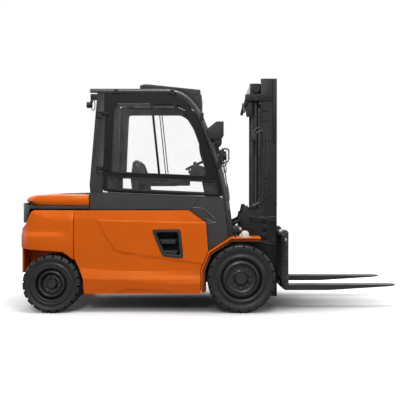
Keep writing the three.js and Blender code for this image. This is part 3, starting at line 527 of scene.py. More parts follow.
def block(name, low, high, round_edge=0.002, segments=2):
    """A cube set to its size and place, with its edges rounded."""
    middle = [(a + b) / 2 for a, b in zip(low, high)]
    size = [abs(b - a) for a, b in zip(low, high)]
    bpy.ops.object.select_all(action="DESELECT")
    bpy.ops.mesh.primitive_cube_add(size=1, location=middle, scale=size)
    piece = bpy.context.object
    piece.name = name
    bpy.ops.object.transform_apply()
    return softened(piece, round_edge, segments)


def joined(name, *pieces):
    """Makes several pieces one, under a new name."""
    only(*pieces)
    if len(pieces) > 1:
        bpy.ops.object.join()
    pieces[-1].name = name
    return pieces[-1]


for side, hand in SIDES.items():
    well = softened(whole(f"step_{side}", f"step_well_{side}"), 0)
    well.data.materials.append(well_black.material)
    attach(well, "root")
    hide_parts(f"step_{side}")

    outline = STEP_OUTLINE[::-1]
    bezel = outlined(f"step_bezel_{side}", filleted(grown(outline, 0.006), 0.042), hand * 0.66,
                     hand * 0.7435)
    throat = outlined("throat", filleted(grown(outline, -0.032), 0.026), hand * 0.60, hand * 0.78)
    mouth = [corner for corner in throat.data.vertices if abs(corner.co.y) > 0.7]
    centre = sum((corner.co for corner in mouth), Vector()) / len(mouth)
    for corner in mouth:
        corner.co.x = centre.x + (corner.co.x - centre.x) * 1.10
        corner.co.z = centre.z + (corner.co.z - centre.z) * 1.07
    cut(bezel, throat)
    softened(bezel, 0.005, 3, sharp=50, smooth=30)
    bezel.data.materials.append(bezel_grey.material)

    treads = []
    for x0, x1, z in ((-0.60, -0.36, 0.745), (-0.585, -0.375, 0.880)):
        treads.append(block("tread", (x0, hand * 0.610, z - 0.012), (x1, hand * 0.712, z + 0.008),
                            0.004))
        for rib in range(5):
            y = 0.622 + rib * 0.019
            treads.append(block("rib", (x0 + 0.012, hand * y, z + 0.006),
                                (x1 - 0.012, hand * (y + 0.007), z + 0.013)))
        treads.append(block("nosing", (x0 + 0.02, hand * 0.708, z - 0.040),
                            (x1 - 0.02, hand * 0.716, z + 0.002)))
    tread = joined(f"step_treads_{side}", *treads)
    tread.data.materials.append(tread_grey.material)
    for piece in (bezel, tread):
        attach(piece, "root")


# ---------------------------------------------------------------- front fenders
# A folded steel arch over each front wheel, painted, with a rolled lip along its outer edge. Its
# recessed face inside the lip and its underside over the wheel take a darker brown copy of the
# orange, painted shade.
# A pale marker lamp with a domed lens stands on each one, on a cast foot.

ARCH_OUTER = [(0.643, 0.919), (0.283, 0.919), (0.010, 0.746), (-0.079, 0.529), (-0.079, 0.248)]
ARCH_INNER = [(0.643, 0.867), (0.296, 0.867), (0.046, 0.712), (-0.031, 0.520), (-0.031, 0.248)]
arch_painted_shade = coated("arch_painted_shade_brown", (0.16, 0.035, 0.010), 0.6, skin=300.0, relief=0.4)


def beside(piece, name):
    """A second object with a mesh of its own, the same as a piece."""
    twin = bpy.data.objects.new(name, piece.data.copy())
    bpy.context.scene.collection.objects.link(twin)
    return twin


def mirrored(piece, name):
    """The other side's copy of a piece."""
    twin = beside(piece, name)
    twin.data.transform(Matrix.Diagonal((1, -1, 1, 1)))
    twin.data.flip_normals()
    return twin


def spun(name, section, centre=(0, 0, 0), steps=48):
    """A closed section of radius and distance along Y, spun about an axis along Y."""
    bpy.ops.object.select_all(action="DESELECT")
    bpy.ops.mesh.primitive_circle_add(vertices=len(section), fill_type="NOTHING")
    piece = bpy.context.object
    piece.name = name
    for corner, (radius, along) in zip(piece.data.vertices, section):
        corner.co = (centre[0] + radius, centre[1] + along, centre[2])
    bpy.ops.object.mode_set(mode="EDIT")
    bpy.ops.mesh.select_all(action="SELECT")
    bpy.ops.mesh.spin(steps=steps, angle=2 * math.pi, center=centre, axis=(0, 1, 0))
    bpy.ops.mesh.select_all(action="SELECT")
    bpy.ops.mesh.remove_doubles(threshold=0.00002)
    bpy.ops.mesh.dissolve_degenerate(threshold=0.00001)
    bpy.ops.mesh.select_all(action="SELECT")
    bpy.ops.mesh.normals_make_consistent(inside=False)
    bpy.ops.object.mode_set(mode="OBJECT")
    return softened(piece, 0, smooth=28)


def stood(piece, place, axis=(0, 0, 1)):
    """Turns a piece made about Y at the middle of the frame to another axis, and sets it in place."""
    turn = Vector((0, 1, 0)).rotation_difference(Vector(axis)).to_matrix().to_4x4()
    piece.data.transform(Matrix.Translation(place) @ turn)
    return piece


def rod(name, start, end, radius, sides=20, edge=0.15):
    """A round bar between two points, with its ends eased."""
    run = Vector(end) - Vector(start)
    bpy.ops.object.select_all(action="DESELECT")
    bpy.ops.mesh.primitive_cylinder_add(vertices=sides, radius=radius, depth=run.length,
                                        location=(Vector(start) + Vector(end)) / 2,
                                        rotation=run.to_track_quat("Z", "Y").to_euler())
    piece = bpy.context.object
    piece.name = name
    bpy.ops.object.transform_apply()
    return softened(piece, min(radius, run.length / 2) * edge, 2, sharp=50, smooth=28)


def pipe(name, points, radius, closed=False, sides=2, smooth=8):
    """A round tube on a smooth path through points."""
    path = bpy.data.curves.new(name, "CURVE")
    path.dimensions = "3D"
    path.bevel_depth, path.bevel_resolution, path.resolution_u = radius, sides, smooth
    path.use_fill_caps = True
    run = path.splines.new("BEZIER")
    run.bezier_points.add(len(points) - 1)
    for knot, point in zip(run.bezier_points, points):
        knot.co = point
        knot.handle_left_type = knot.handle_right_type = "AUTO"
    run.use_cyclic_u = closed
    piece = bpy.data.objects.new(name, path)
    bpy.context.scene.collection.objects.link(piece)
    only(piece)
    bpy.ops.object.convert(target="MESH")
    piece = bpy.context.object
    return softened(piece, 0, smooth=60)


for side, hand in SIDES.items():
    arch = whole(f"front_fender_{side}", f"fender_arch_{side}")
    face_inner = [(x + (a - x) * 0.34, z + (b - z) * 0.34) for (x, z),
                  (a, b) in zip(ARCH_OUTER, ARCH_INNER)]
    face_inner[0] = (0.66, face_inner[0][1])
    face_inner[-1] = (face_inner[-1][0], 0.22)
    past = [(x + (x - a) * 0.5, z + (z - b) * 0.5) for (a, b), (x, z) in zip(ARCH_OUTER, ARCH_INNER)]
    past[0], past[-1] = (0.66, past[0][1]), (past[-1][0], 0.22)
    hollow = outlined("hollow", face_inner + past[::-1], hand * 0.728, hand * 0.77)
    cut(arch, hollow)
    arch.data.materials.append(panel_orange.material)
    arch.data.materials.append(arch_painted_shade.material)
    # Painted shade: faces of the recess inside the lip and faces turned towards the wheel take the
    # darker brown copy of the orange.
    for face in arch.data.polygons:
        x, y, z = face.center
        if abs(y) < 0.7475 and abs(face.normal.y) > 0.5 and abs(y) > 0.5 or face.normal.dot(
                Vector((0.25 - x, 0, 0.45 - z)).normalized()) > 0.6:
            face.material_index = 1
    softened(arch, 0.003, 2)
    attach(arch, "root")
    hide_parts(f"front_fender_{side}")

LAMP_AT = (0.452, 0.700, 0.953)
lens_cream = Finish("marker_lens_cream", Roughness=0.18, Coat_Weight=0.4)
flutes = lens_cream.node("TexWave", {"bands_direction": "X"},
                         {"Vector": lens_cream.place(), "Scale": 34.0})
depth = lens_cream.noise(26.0, 4.0)
lens_cream.feed(Base_Color=lens_cream.tint(depth.fade(0.35, 0.65), (0.40, 0.35, 0.28),
                                           (0.62, 0.57, 0.50)))
lens_cream.bump(flutes, 0.3, 0.001)
foot_pale = coated("marker_foot_pale", (0.50, 0.38, 0.22), 0.4, skin=160.0, relief=0.2)
plated = Finish("plated_steel", Metallic=1.0)
scratch = plated.noise(300.0, 3.0, stretch=(1, 1, 6))
plated.feed(Base_Color=plated.tint(scratch, (0.42, 0.42, 0.41), (0.62, 0.62, 0.60)),
            Roughness=scratch.fade(0.2, 0.8, 0.24, 0.42))
plated.bump(scratch, 0.15, 0.0004)

dome = [(0.0, 0.0), (0.0, 0.047), (0.020, 0.045), (0.034, 0.038), (0.046, 0.024), (0.052, 0.006),
        (0.052, -0.034),
        (0.046, -0.040), (0.0, -0.040)]
foot = [(0.0, -0.001), (0.0, 0.030), (0.028, 0.030), (0.032, 0.020), (0.046, 0.012), (0.050, 0.0),
        (0.046, -0.001)]
for side, hand in SIDES.items():
    x, y, z = LAMP_AT[0], hand * LAMP_AT[1], LAMP_AT[2]
    lens_piece = stood(spun(f"marker_lens_{side}", dome), (x, y, z))
    lens_piece.data.materials.append(lens_cream.material)
    base = stood(spun(f"marker_foot_{side}", foot), (x, y, 0.919))
    flange = block("flange", (x - 0.07, y - 0.045, 0.9185), (x + 0.07, y + 0.045, 0.926), 0.003)
    base = joined(f"marker_foot_{side}", flange, base)
    base.data.materials.append(foot_pale.material)
    bolts = [rod("bolt", (x + dx, y + dy, 0.924), (x + dx, y + dy, 0.933), 0.007, 6)
             for dx, dy in ((-0.058, 0.0), (0.058, 0.0))]
    bolts.append(rod("clip", (x - 0.055, y, 1.022), (x - 0.055, y + hand * 0.03, 1.022), 0.016, 16))
    bolts = joined(f"marker_bolts_{side}", *bolts)
    bolts.data.materials.append(plated.material)
    stay = joined(f"marker_stay_{side}",
                  block("post", (x - 0.125, y - 0.02, 0.919), (x - 0.105, y + 0.02, 1.05), 0.004),
                  block("head", (x - 0.150, y - 0.03, 0.985), (x - 0.068, y + 0.03, 1.045), 0.008))
    stay.data.materials.append(bezel_grey.material)
    for piece, finish in ((lens_piece, "black_plastic"), (base, "black_plastic"), (bolts, "chrome_rod"),
                          (stay, "black_plastic")):
        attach(piece, "root")


# ---------------------------------------------------------------- cab sides and floor
# Textured dark panels close the cab under its doors. A groove marks where the front cover
# begins, and a scoop is pressed into it above the wheel. Light grey lines laid along the scoop's
# edges and a lighter strip along the sill are painted highlights. The floor is one stepped tray.

cab_grey = coated("cab_panel_grey", (0.040, 0.040, 0.042), 0.52, skin=700.0, relief=0.35, dusty=0.05)
rubber_and_shade_black = coated("rubber_and_painted_shade", (0.004, 0.004, 0.004), 0.8, skin=200.0, relief=0.3)
SCOOP = [(-0.072, 1.272), (0.106, 1.124), (0.106, 1.098), (-0.062, 1.150)]
SILL = [(-1.268, 1.474), (0.210, 1.404)]
PAINTED_HIGHLIGHT_LINES = [[(-0.193, 1.277), (-0.064, 1.270), (0.020, 1.199), (0.104, 1.122)],
           [(-0.059, 1.150), (0.020, 1.126), (0.104, 1.101)],
           [(0.104, 1.101), (0.050, 1.091), (-0.003, 1.081)]]
sill_painted_highlight = coated("sill_painted_highlight", (0.10, 0.10, 0.102), 0.35, skin=200.0, relief=0.1, dusty=0.0,
                    Specular_IOR_Level=0.6)
painted_highlight_grey = coated("cab_side_painted_highlight", (0.22, 0.22, 0.225), 0.30, skin=200.0, relief=0.1, dusty=0.0,
                      Specular_IOR_Level=0.6)

for side, hand in SIDES.items():
    cover = whole(f"cab_side_{side}", f"cab_side_{side}_cover")
    skin = hand * 0.648
    groove = outlined("groove", [(-0.108, 1.392), (-0.102, 1.396), (-0.212, 1.246), (-0.218, 1.242)],
                      hand * 0.642, hand * 0.66)
    scoop = outlined("scoop", SCOOP, hand * 0.60, hand * 0.70)
    for corner in scoop.data.vertices:
        if abs(corner.co.y) < 0.65:
            corner.co.y = skin - hand * (0.022 if corner.co.x > 0 else 0.003)
    facet = outlined("facet", [(-0.062, 1.150), (0.106, 1.098), (0.106, 1.093), (0.0, 1.072)],
                     hand * 0.60, hand * 0.70)
    for corner in facet.data.vertices:
        if abs(corner.co.y) < 0.65:
            corner.co.y = skin - hand * (0.018 if corner.co.z > 1.095 else 0.0005)
    cut(cover, groove, scoop, facet)
    softened(cover, 0.0025, 2, sharp=14, smooth=6)
    closing = outlined("closing", [(-0.07, 1.10), (0.10, 1.09), (0.09, 0.80), (-0.03, 0.76)],
                       hand * 0.560, hand * 0.6465)
    cover = joined(f"cab_side_{side}_cover", closing, cover)
    cover.data.materials.append(cab_grey.material)
    # Painted highlight: a thin light grey strip along the sill stands in for the highlight line there.
    trim = block(f"cab_sill_trim_{side}", (SILL[0][0], hand * 0.640, -0.003),
                 (SILL[1][0], hand * 0.651, 0.003), 0.0015)
    for corner in trim.data.vertices:
        share = (corner.co.x - SILL[0][0]) / (SILL[1][0] - SILL[0][0])
        corner.co.z += SILL[0][1] + (SILL[1][1] - SILL[0][1]) * share - 0.006
    trim.data.materials.append(sill_painted_highlight.material)
    strips = [block("strip", (-1.66, hand * 0.655, 0.665), (-1.60, hand * 0.668, 1.24), 0.003),
              outlined("strip", [(-0.11, 0.55), (0.03, 0.80), (0.08, 0.78), (-0.02, 0.53),
                                 (-0.02, 0.25), (-0.11, 0.25)],
                       hand * 0.60, hand * 0.62)]
    strips.append(pipe("groove_line", [(x, hand * 0.6475, z) for x,
                                       z in ((-0.105, 1.394), (-0.150, 1.331), (-0.215, 1.244))],
                       0.0028, sides=1, smooth=2))
    seal = joined(f"flank_seal_{side}", *strips)
    # Painted highlights: light grey lines laid along the edges of the scoop, where they catch the
    # light.
    painted_highlights = [pipe("edge", [(x, hand * 0.6475, z) for x, z in line], 0.0024, sides=1, smooth=2)
             for line in PAINTED_HIGHLIGHT_LINES]
    edge = joined(f"cab_side_{side}_edges", *painted_highlights)
    edge.data.materials.append(painted_highlight_grey.material)
    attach(edge, "root")
    seal.data.materials.append(rubber_and_shade_black.material)
    for piece, finish in ((cover, "cab_grey"), (trim, "chrome_rod"), (seal, "black_plastic")):
        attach(piece, "root")
    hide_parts(f"cab_side_{side}")

floor_rubber = coated("floor_mat_rubber", (0.014, 0.014, 0.015), 0.75, skin=120.0, relief=0.6)
tray = softened(whole("cab_floor", "cab_floor_tray"), 0.004)
tray.data.materials.append(floor_rubber.material)
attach(tray, "root")
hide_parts("cab_floor")

pedals = []
for y, low, high in ((-0.17, 1.06, 1.17), (-0.02, 1.09, 1.19)):
    pedals.append(block("pad", (0.075, y - 0.045, low), (0.095, y + 0.045, high), 0.004))
    pedals.append(rod("arm", (0.094, y, (low + high) / 2), (0.16, y, high + 0.05), 0.010))
    for rib in range(4):
        z = low + 0.02 + rib * 0.024
        pedals.append(block("rib", (0.071, y - 0.038, z), (0.077, y + 0.038, z + 0.008), 0.002))
for piece in pedals:
    piece.data.transform(Matrix.Translation((-0.02, 0, 0.0)))
pedal = joined("foot_pedals", *pedals)
pedal.data.materials.append(rubber_and_shade_black.material)
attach(pedal, "root")


# ---------------------------------------------------------------- cab frame
# The overhead guard is welded from folded steel. A round rail runs along each side of the roof
# and down the front pillar, with clamps for the roof screen and the hinge plates on it.

frame_coat = coated("frame_black", (0.036, 0.036, 0.037), 0.40, skin=600.0, relief=0.2)
rail_coat = coated("rail_black", (0.058, 0.058, 0.060), 0.26, skin=500.0, relief=0.15,
                   Specular_IOR_Level=0.6)
clamp_black = coated("clamp_black", (0.015, 0.015, 0.0155), 0.40, skin=300.0, relief=0.2)
RAIL = [(-1.442, 2.712), (-1.2, 2.712), (-0.9, 2.712), (-0.60, 2.712), (-0.43, 2.704), (-0.31, 2.662),
        (-0.215, 2.592),
        (-0.135, 2.487), (-0.075, 2.372), (-0.010, 2.215), (0.052, 2.048), (0.110, 1.880),
        (0.150, 1.745),
        (0.186, 1.610), (0.214, 1.480), (0.236, 1.366), (0.250, 1.240)]

for side, hand in SIDES.items():
    frame_piece = softened(whole(f"cab_frame_{side}", f"cab_frame_{side}_plate"), 0.003)
    frame_piece.data.materials.append(frame_coat.material)
    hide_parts(f"cab_frame_{side}")
    rail = pipe(f"roof_rail_{side}", [(x, hand * 0.628, z) for x, z in RAIL], 0.0255, sides=4)
    rail.data.materials.append(rail_coat.material)
    clamps = []
    for x in (-1.122, -0.436):
        clamps.append(block("clamp", (x - 0.055, hand * 0.600, 2.676), (x + 0.055, hand * 0.654, 2.690),
                            0.003))
        clamps.append(block("strap", (x - 0.026, hand * 0.606, 2.688),
                            (x + 0.026, hand * 0.656, 2.7368), 0.008))
        for dx in (-0.040, 0.040):
            clamps.append(rod("bolt", (x + dx, hand * 0.652, 2.683), (x + dx, hand * 0.661, 2.683),
                              0.008, 6))
    for x, z in ((-0.070, 2.392), (0.132, 1.800)):
        clamps.append(block("strap", (x - 0.030, hand * 0.608, z - 0.05),
                            (x + 0.020, hand * 0.656, z + 0.05), 0.008))
        clamps.append(rod("bolt", (x - 0.01, hand * 0.654, z - 0.03),
                          (x - 0.01, hand * 0.662, z - 0.03), 0.008, 6))
        clamps.append(rod("bolt", (x - 0.01, hand * 0.654, z + 0.03),
                          (x - 0.01, hand * 0.662, z + 0.03), 0.008, 6))
    for z in (2.424, 1.750):
        clamps.append(block("plate", (-1.372, hand * 0.638, z - 0.048),
                            (-1.300, hand * 0.649, z + 0.048), 0.003))
        for dz in (-0.030, 0.030):
            clamps.append(rod("bolt", (-1.352, hand * 0.647, z + dz), (-1.352, hand * 0.656, z + dz),
                              0.008, 6))
    clamp = joined(f"rail_clamps_{side}", *clamps)
    clamp.data.materials.append(clamp_black.material)
    for piece in (frame_piece, rail, clamp):
        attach(piece, "root")


# ---------------------------------------------------------------- roof, screens
# Steel bars carry a laminated roof pane. The windscreen is bonded to the front pillars and the
# rear screen to the back of the cab. A black ceramic border is printed down each side edge of the
# windscreen.

guard = softened(whole("roof_guard", "roof_bars"), 0.004)
guard.data.materials.append(frame_coat.material)
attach(guard, "root")
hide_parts("roof_guard")

glass = Finish("window_glass", Roughness=0.03, Specular_IOR_Level=0.25)
smear = glass.noise(5.0, 4.0)
glass.feed(Base_Color=glass.tint(smear, (0.55, 0.57, 0.57), (0.64, 0.66, 0.66)),
           Alpha=smear.fade(0.2, 0.8, 0.020, 0.042),
           Roughness=smear.fade(0.3, 0.8, 0.03, 0.10))
border = coated("ceramic_border", (0.010, 0.010, 0.011), 0.25, skin=100.0, relief=0.05)

for node, finish in (("roof_window", "window_glass"), ("windscreen", "window_glass"),
                     ("rear_window", "window_glass")):
    pane = softened(whole(node, f"{node}_pane"), 0.0015, 1)
    pane.data.materials.append(glass.material)
    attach(pane, "root")
    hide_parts(node)

painted_highlights = []
for hand in SIDES.values():
    for (x0, z0), (x1, z1) in zip(((-0.298, 2.664), (-0.175, 2.553), (-0.101, 2.430), (-0.015, 2.247),
                                   (0.059, 2.051),
                                   (0.121, 1.878), (0.195, 1.609), (0.244, 1.364), (0.269, 1.195)),
                                  ((-0.175, 2.553), (-0.101, 2.430), (-0.015, 2.247), (0.059, 2.051),
                                   (0.121, 1.878),
                                   (0.195, 1.609), (0.244, 1.364), (0.269, 1.195), (0.300, 0.945))):
        strip = block("strip", (x0, hand * 0.583, z0), (x0 + 0.003, hand * 0.538, z0 - 0.001), 0)
        for corner in strip.data.vertices:
            if corner.co.z < z0 - 0.0005:
                corner.co.x += x1 - x0
                corner.co.z = z1
        painted_highlights.append(strip)
edging = joined("windscreen_border", *painted_highlights)
edging.data.materials.append(border.material)
wiper = joined("windscreen_wiper",
               pipe("arm", [(0.285, 0.02, 1.190), (0.262, 0.06, 1.42), (0.215, 0.10, 1.64),
                            (0.160, 0.13, 1.86)], 0.006),
               pipe("blade", [(0.246, 0.12, 1.44), (0.208, 0.13, 1.62), (0.155, 0.14, 1.82),
                              (0.100, 0.15, 2.00)], 0.009),
               rod("motor", (0.262, 0.02, 1.165), (0.300, 0.02, 1.175), 0.030))
wiper.data.materials.append(rubber_and_shade_black.material)
for piece in (edging, wiper):
    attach(piece, "root")


# ---------------------------------------------------------------- dashboard and steering wheel
# A tall moulded column cowl with a rounded binnacle and a flat display, its screen dark. The
# wheel has a padded rim, three flat spokes and a knob, and turns on the tilted column.

cowl_black = coated("cowl_plastic", (0.018, 0.018, 0.019), 0.55, skin=500.0, relief=0.5)
screen_dark = Finish("display_glass", Roughness=0.08, Specular_IOR_Level=0.5)
glow = screen_dark.noise(12.0)
screen_dark.feed(Base_Color=screen_dark.tint(glow, (0.004, 0.005, 0.006), (0.012, 0.014, 0.016)))

cowl = softened(whole("dashboard", "dashboard_cowl"), 0.012, 3)
cowl.data.materials.append(cowl_black.material)
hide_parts("dashboard")
hump = outlined("binnacle", filleted([(-0.250, 1.700), (-0.215, 1.775), (-0.165, 1.823),
                                      (-0.015, 1.785), (0.070, 1.730),
                                      (0.090, 1.640), (0.000, 1.60), (-0.20, 1.66)], 0.03), -0.285,
                -0.178)
hump.name = "dashboard_binnacle"
softened(hump, 0.016, 3)
hump.data.materials.append(cowl_black.material)
display = block("dashboard_display", (-0.254, -0.272, 1.712), (-0.236, -0.192, 1.772), 0.005)
display.data.materials.append(cowl_black.material)
display.data.materials.append(screen_dark.material)
for face in display.data.polygons:
    if face.normal.x < -0.9 and face.area > 0.002:
        face.material_index = 1
for piece in (cowl, hump, display):
    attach(piece, "root")

WHEEL_TILT = math.radians(25)
WHEEL_CENTRE = Vector((-0.168, 0, 1.823))
along_column = Vector((-math.sin(WHEEL_TILT), 0, math.cos(WHEEL_TILT)))
grip = coated("wheel_rim_rubber", (0.012, 0.012, 0.012), 0.6, skin=260.0, relief=0.6)
ring = [(0.137 + 0.0128 * math.cos(a), 0.0128 * math.sin(a))
        for a in (math.tau * i / 12 for i in range(12))]
parts = [spun("rim", ring, steps=56), spun("hub", [(0, -0.044), (0.036, -0.044), (0.038, -0.030),
                                                   (0.034, 0.0), (0.026, 0.006), (0, 0.008)], steps=32)]
for turn in (90, 210, 330):
    spoke = outlined("spoke", filleted([(0.02, -0.014), (0.132, -0.010), (0.132, 0.010), (0.02, 0.014)],
                                       0.002), -0.006, 0.002)
    softened(spoke, 0.0015)
    for corner in spoke.data.vertices:
        corner.co.y -= 0.008 * (0.137 - corner.co.x) / 0.12
    spoke.data.transform(Matrix.Rotation(math.radians(turn), 4, "Y"))
    parts.append(spoke)
knob = stood(spun("knob", [(0, 0.004), (0.008, 0.004), (0.008, 0.018), (0.020, 0.024), (0.024, 0.038),
                           (0.018, 0.050), (0, 0.053)], steps=24), (0.0579, 0, -0.1242), (0, 1, 0))
wheel = joined("steering_wheel_rim", knob, *parts)
wheel.data.transform(Matrix.Translation(WHEEL_CENTRE) @ Vector((0, 1,
        0)).rotation_difference(along_column).to_matrix().to_4x4())
wheel.data.materials.append(grip.material)
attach(wheel, "steering_wheel")
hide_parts("steering_wheel")


# ---------------------------------------------------------------- seat base and armrest
# A low scissor base under a rubber bellows, with a sliding plate. The armrest on the right
# carries a small console with finger levers and a rounded palm rest.

base_black = coated("seat_base_black", (0.012, 0.012, 0.0125), 0.6, skin=300.0, relief=0.4)
base = softened(whole("seat_base", "seat_base_frame"), 0.012, 3)
base.data.materials.append(base_black.material)
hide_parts("seat_base")
folds = [block("fold", (-0.925 + 0.008 * (i % 2), -0.19, 1.212 + 0.016 * i),
               (-0.515 - 0.008 * (i % 2), 0.19, 1.226 + 0.016 * i), 0.006)
         for i in range(5)]
bellows = joined("seat_bellows", *folds)
bellows.data.materials.append(rubber_and_shade_black.material)
console = joined("armrest_console",
                 block("pad", (-0.88, -0.385, 1.560), (-0.51, -0.295, 1.640), 0.014, 3),
                 block("head", (-0.515, -0.385, 1.545), (-0.230, -0.290, 1.622), 0.016, 3),
                 *[rod("lever", (-0.405, -0.305 - 0.022 * i, 1.628),
                       (-0.392, -0.305 - 0.022 * i, 1.672), 0.006) for i in range(4)],
                 *[block("paddle", (-0.400, -0.312 - 0.022 * i, 1.664),
                         (-0.380, -0.298 - 0.022 * i, 1.692), 0.004) for i in range(4)])
console.data.materials.append(cowl_black.material)
brake = joined("parking_lever", rod("stem", (-0.60, 0.33, 1.206), (-0.57, 0.33, 1.42), 0.010),
               stood(spun("ball", [(0, -0.03), (0.016, -0.024), (0.022, 0.0), (0.016, 0.022),
                                   (0, 0.026)], steps=24), (-0.567, 0.33, 1.445)),
               block("gaiter", (-0.65, 0.29, 1.206), (-0.55, 0.37, 1.25), 0.014, 3))
brake.data.materials.append(base_black.material)
for piece in (base, bellows, console, brake):
    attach(piece, "root")


# ---------------------------------------------------------------- seat
# A sprung driver's seat: a foam cushion and a winged back in hard-wearing dark cloth with vinyl
# bolsters, piped seams and sewn channels. The pads swell over their shells as stuffed foam does.

cloth = Finish("seat_cloth", Roughness=0.9, Specular_IOR_Level=0.2, Sheen_Weight=0.25,
               Sheen_Roughness=0.5)
warp = cloth.node("TexWave", {"wave_type": "BANDS", "bands_direction": "Y"},
                  {"Vector": cloth.place(), "Scale": 260.0, "Distortion": 0.6})
weft = cloth.node("TexWave", {"wave_type": "BANDS", "bands_direction": "X"},
                  {"Vector": cloth.place(), "Scale": 260.0, "Distortion": 0.6})
weave = warp * weft
worn = cloth.noise(9.0, 5.0, 0.6)
cloth.feed(Base_Color=cloth.tint(weave * 0.5 + worn * 0.5, (0.010, 0.010, 0.011),
                                 (0.040, 0.041, 0.044)))
cloth.bump(weave, 0.5, 0.0006)
vinyl = coated("seat_vinyl", (0.016, 0.016, 0.017), 0.48, skin=340.0, relief=0.7, dusty=0.0,
               Specular_IOR_Level=0.35)


def stuffed(piece, pressure, most):
    """Blows a closed pad up like foam in a cover, by no more than a given distance."""
    worked(piece, "REMESH", mode="VOXEL", voxel_size=0.006)
    only(piece)
    still = [corner.co.copy() for corner in piece.data.vertices]
    cover = piece.modifiers.new("cover", "CLOTH")
    cover.settings.use_pressure = True
    cover.settings.uniform_pressure_force = pressure
    cover.settings.tension_stiffness = cover.settings.compression_stiffness = 12
    cover.settings.bending_stiffness = 4
    cover.settings.effector_weights.gravity = 0
    cover.point_cache.frame_start, cover.point_cache.frame_end = 1, 20
    for tick in range(1, 21):
        bpy.context.scene.frame_set(tick)
    bpy.ops.object.modifier_apply(modifier=cover.name)
    bpy.context.scene.frame_set(1)
    for corner, rest in zip(piece.data.vertices, still):
        move = corner.co - rest
        if move.length > most:
            corner.co = rest + move.normalized() * most
    worked(piece, "SMOOTH", factor=0.5, iterations=4)
    only(piece)
    bpy.ops.object.shade_smooth()
    return piece


def pad(name, outline, half, crown, at=0.0, corners=0.03):
    """A pad drawn on its side, crowned towards its middle and drawn in at its sides."""
    piece = outlined(name, filleted(outline, corners, 6), at - half, at + half)
    softened(piece, min(0.028, half * 0.4), 4)
    worked(piece, "REMESH", mode="VOXEL", voxel_size=0.010)
    middle = sum((corner.co for corner in piece.data.vertices), Vector()) / len(piece.data.vertices)
    for corner in piece.data.vertices:
        share = min(abs(corner.co.y - at) / half, 1.0)
        corner.co = middle + (corner.co - middle) * (1 - crown * share ** 3)
    return piece


CUSHION = [(-0.462, 1.306), (-0.440, 1.340), (-0.462, 1.376), (-0.530, 1.392), (-0.780, 1.388),
           (-0.865, 1.384), (-0.900, 1.306)]
BACK = [(-0.815, 1.420), (-0.875, 1.640), (-0.910, 1.868), (-0.966, 1.868), (-0.998, 1.640),
        (-0.960, 1.390), (-0.86, 1.370)]
WING = [(-0.770, 1.420), (-0.792, 1.660), (-0.866, 1.838), (-0.918, 1.874), (-0.968, 1.866),
        (-0.998, 1.640), (-0.960, 1.390), (-0.84, 1.370)]
cushion = stuffed(pad("seat_cushion", CUSHION, 0.165, 0.05), 3.0, 0.012)
back = stuffed(pad("seat_back", BACK, 0.160, 0.04, corners=0.035), 3.0, 0.012)
bolsters = []
for hand in (1, -1):
    wing = [(x, z + 0.014) if z > 1.35 else (x, z) for x, z in CUSHION]
    bolsters.append(stuffed(pad("bolster", wing, 0.038, 0.16, at=hand * 0.203, corners=0.02), 2.0,
                            0.008))
    bolsters.append(stuffed(pad("bolster", WING, 0.036, 0.14, at=hand * 0.198, corners=0.03), 2.0,
                            0.008))
bolster = joined("seat_bolsters", *bolsters)

piping = []
for hand in (1, -1):
    y = hand * 0.166
    piping.append(pipe("cord", [(-0.452, y, 1.335), (-0.470, y, 1.380), (-0.540, y, 1.401),
                                (-0.70, y, 1.402), (-0.84, y, 1.398)], 0.0045))
    piping.append(pipe("cord", [(-0.800, y, 1.45), (-0.868, y, 1.66), (-0.902, y, 1.852),
                                (-0.93, y, 1.879), (-0.962, y, 1.866)], 0.0045))
for x in (-0.56, -0.66, -0.76):
    piping.append(pipe("seam", [(x, -0.160, 1.396), (x, -0.06, 1.404), (x, 0.06, 1.404),
                                (x, 0.160, 1.396)], 0.0035))
for z in (1.54, 1.64, 1.74):
    x = -0.845 - (z - 1.54) * 0.17
    piping.append(pipe("seam", [(x, -0.155, z), (x + 0.008, -0.06, z), (x + 0.008, 0.06, z),
                                (x, 0.155, z)], 0.0035))
seams = joined("seat_seams", *piping)

shell = outlined("seat_shell", filleted([(-0.958, 1.36), (-0.975, 1.38), (-1.008, 1.640),
                                         (-0.978, 1.86), (-0.960, 1.86),
                                         (-0.985, 1.640), (-0.940, 1.37)], 0.008, 3), -0.20, 0.20)
shell.name = "seat_back_shell"
softened(shell, 0.004)
belt = joined("seat_belt", block("reel", (-0.98, 0.235, 1.33), (-0.90, 0.270, 1.42), 0.008),
              pipe("webbing", [(-0.94, 0.25, 1.40), (-0.90, 0.245, 1.45), (-0.82, 0.24, 1.44),
                               (-0.76, 0.243, 1.40)], 0.010),
              block("buckle", (-0.86, -0.262, 1.34), (-0.83, -0.246, 1.44), 0.006))
for piece, finish in ((cushion, cloth), (back, cloth), (bolster, vinyl), (seams, vinyl),
                      (shell, cowl_black), (belt, base_black)):
    piece.data.materials.clear()
    piece.data.materials.append(finish.material)
    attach(piece, "root")
    "seat_fabric" if finish in (cloth, vinyl) else "black_plastic"
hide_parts("seat")


# ---------------------------------------------------------------- roof housing
# A moulded air-conditioner housing wraps over the front of the roof, screwed down through its
# rim. Louvres are let into its nose and a small junction box sits at its back.

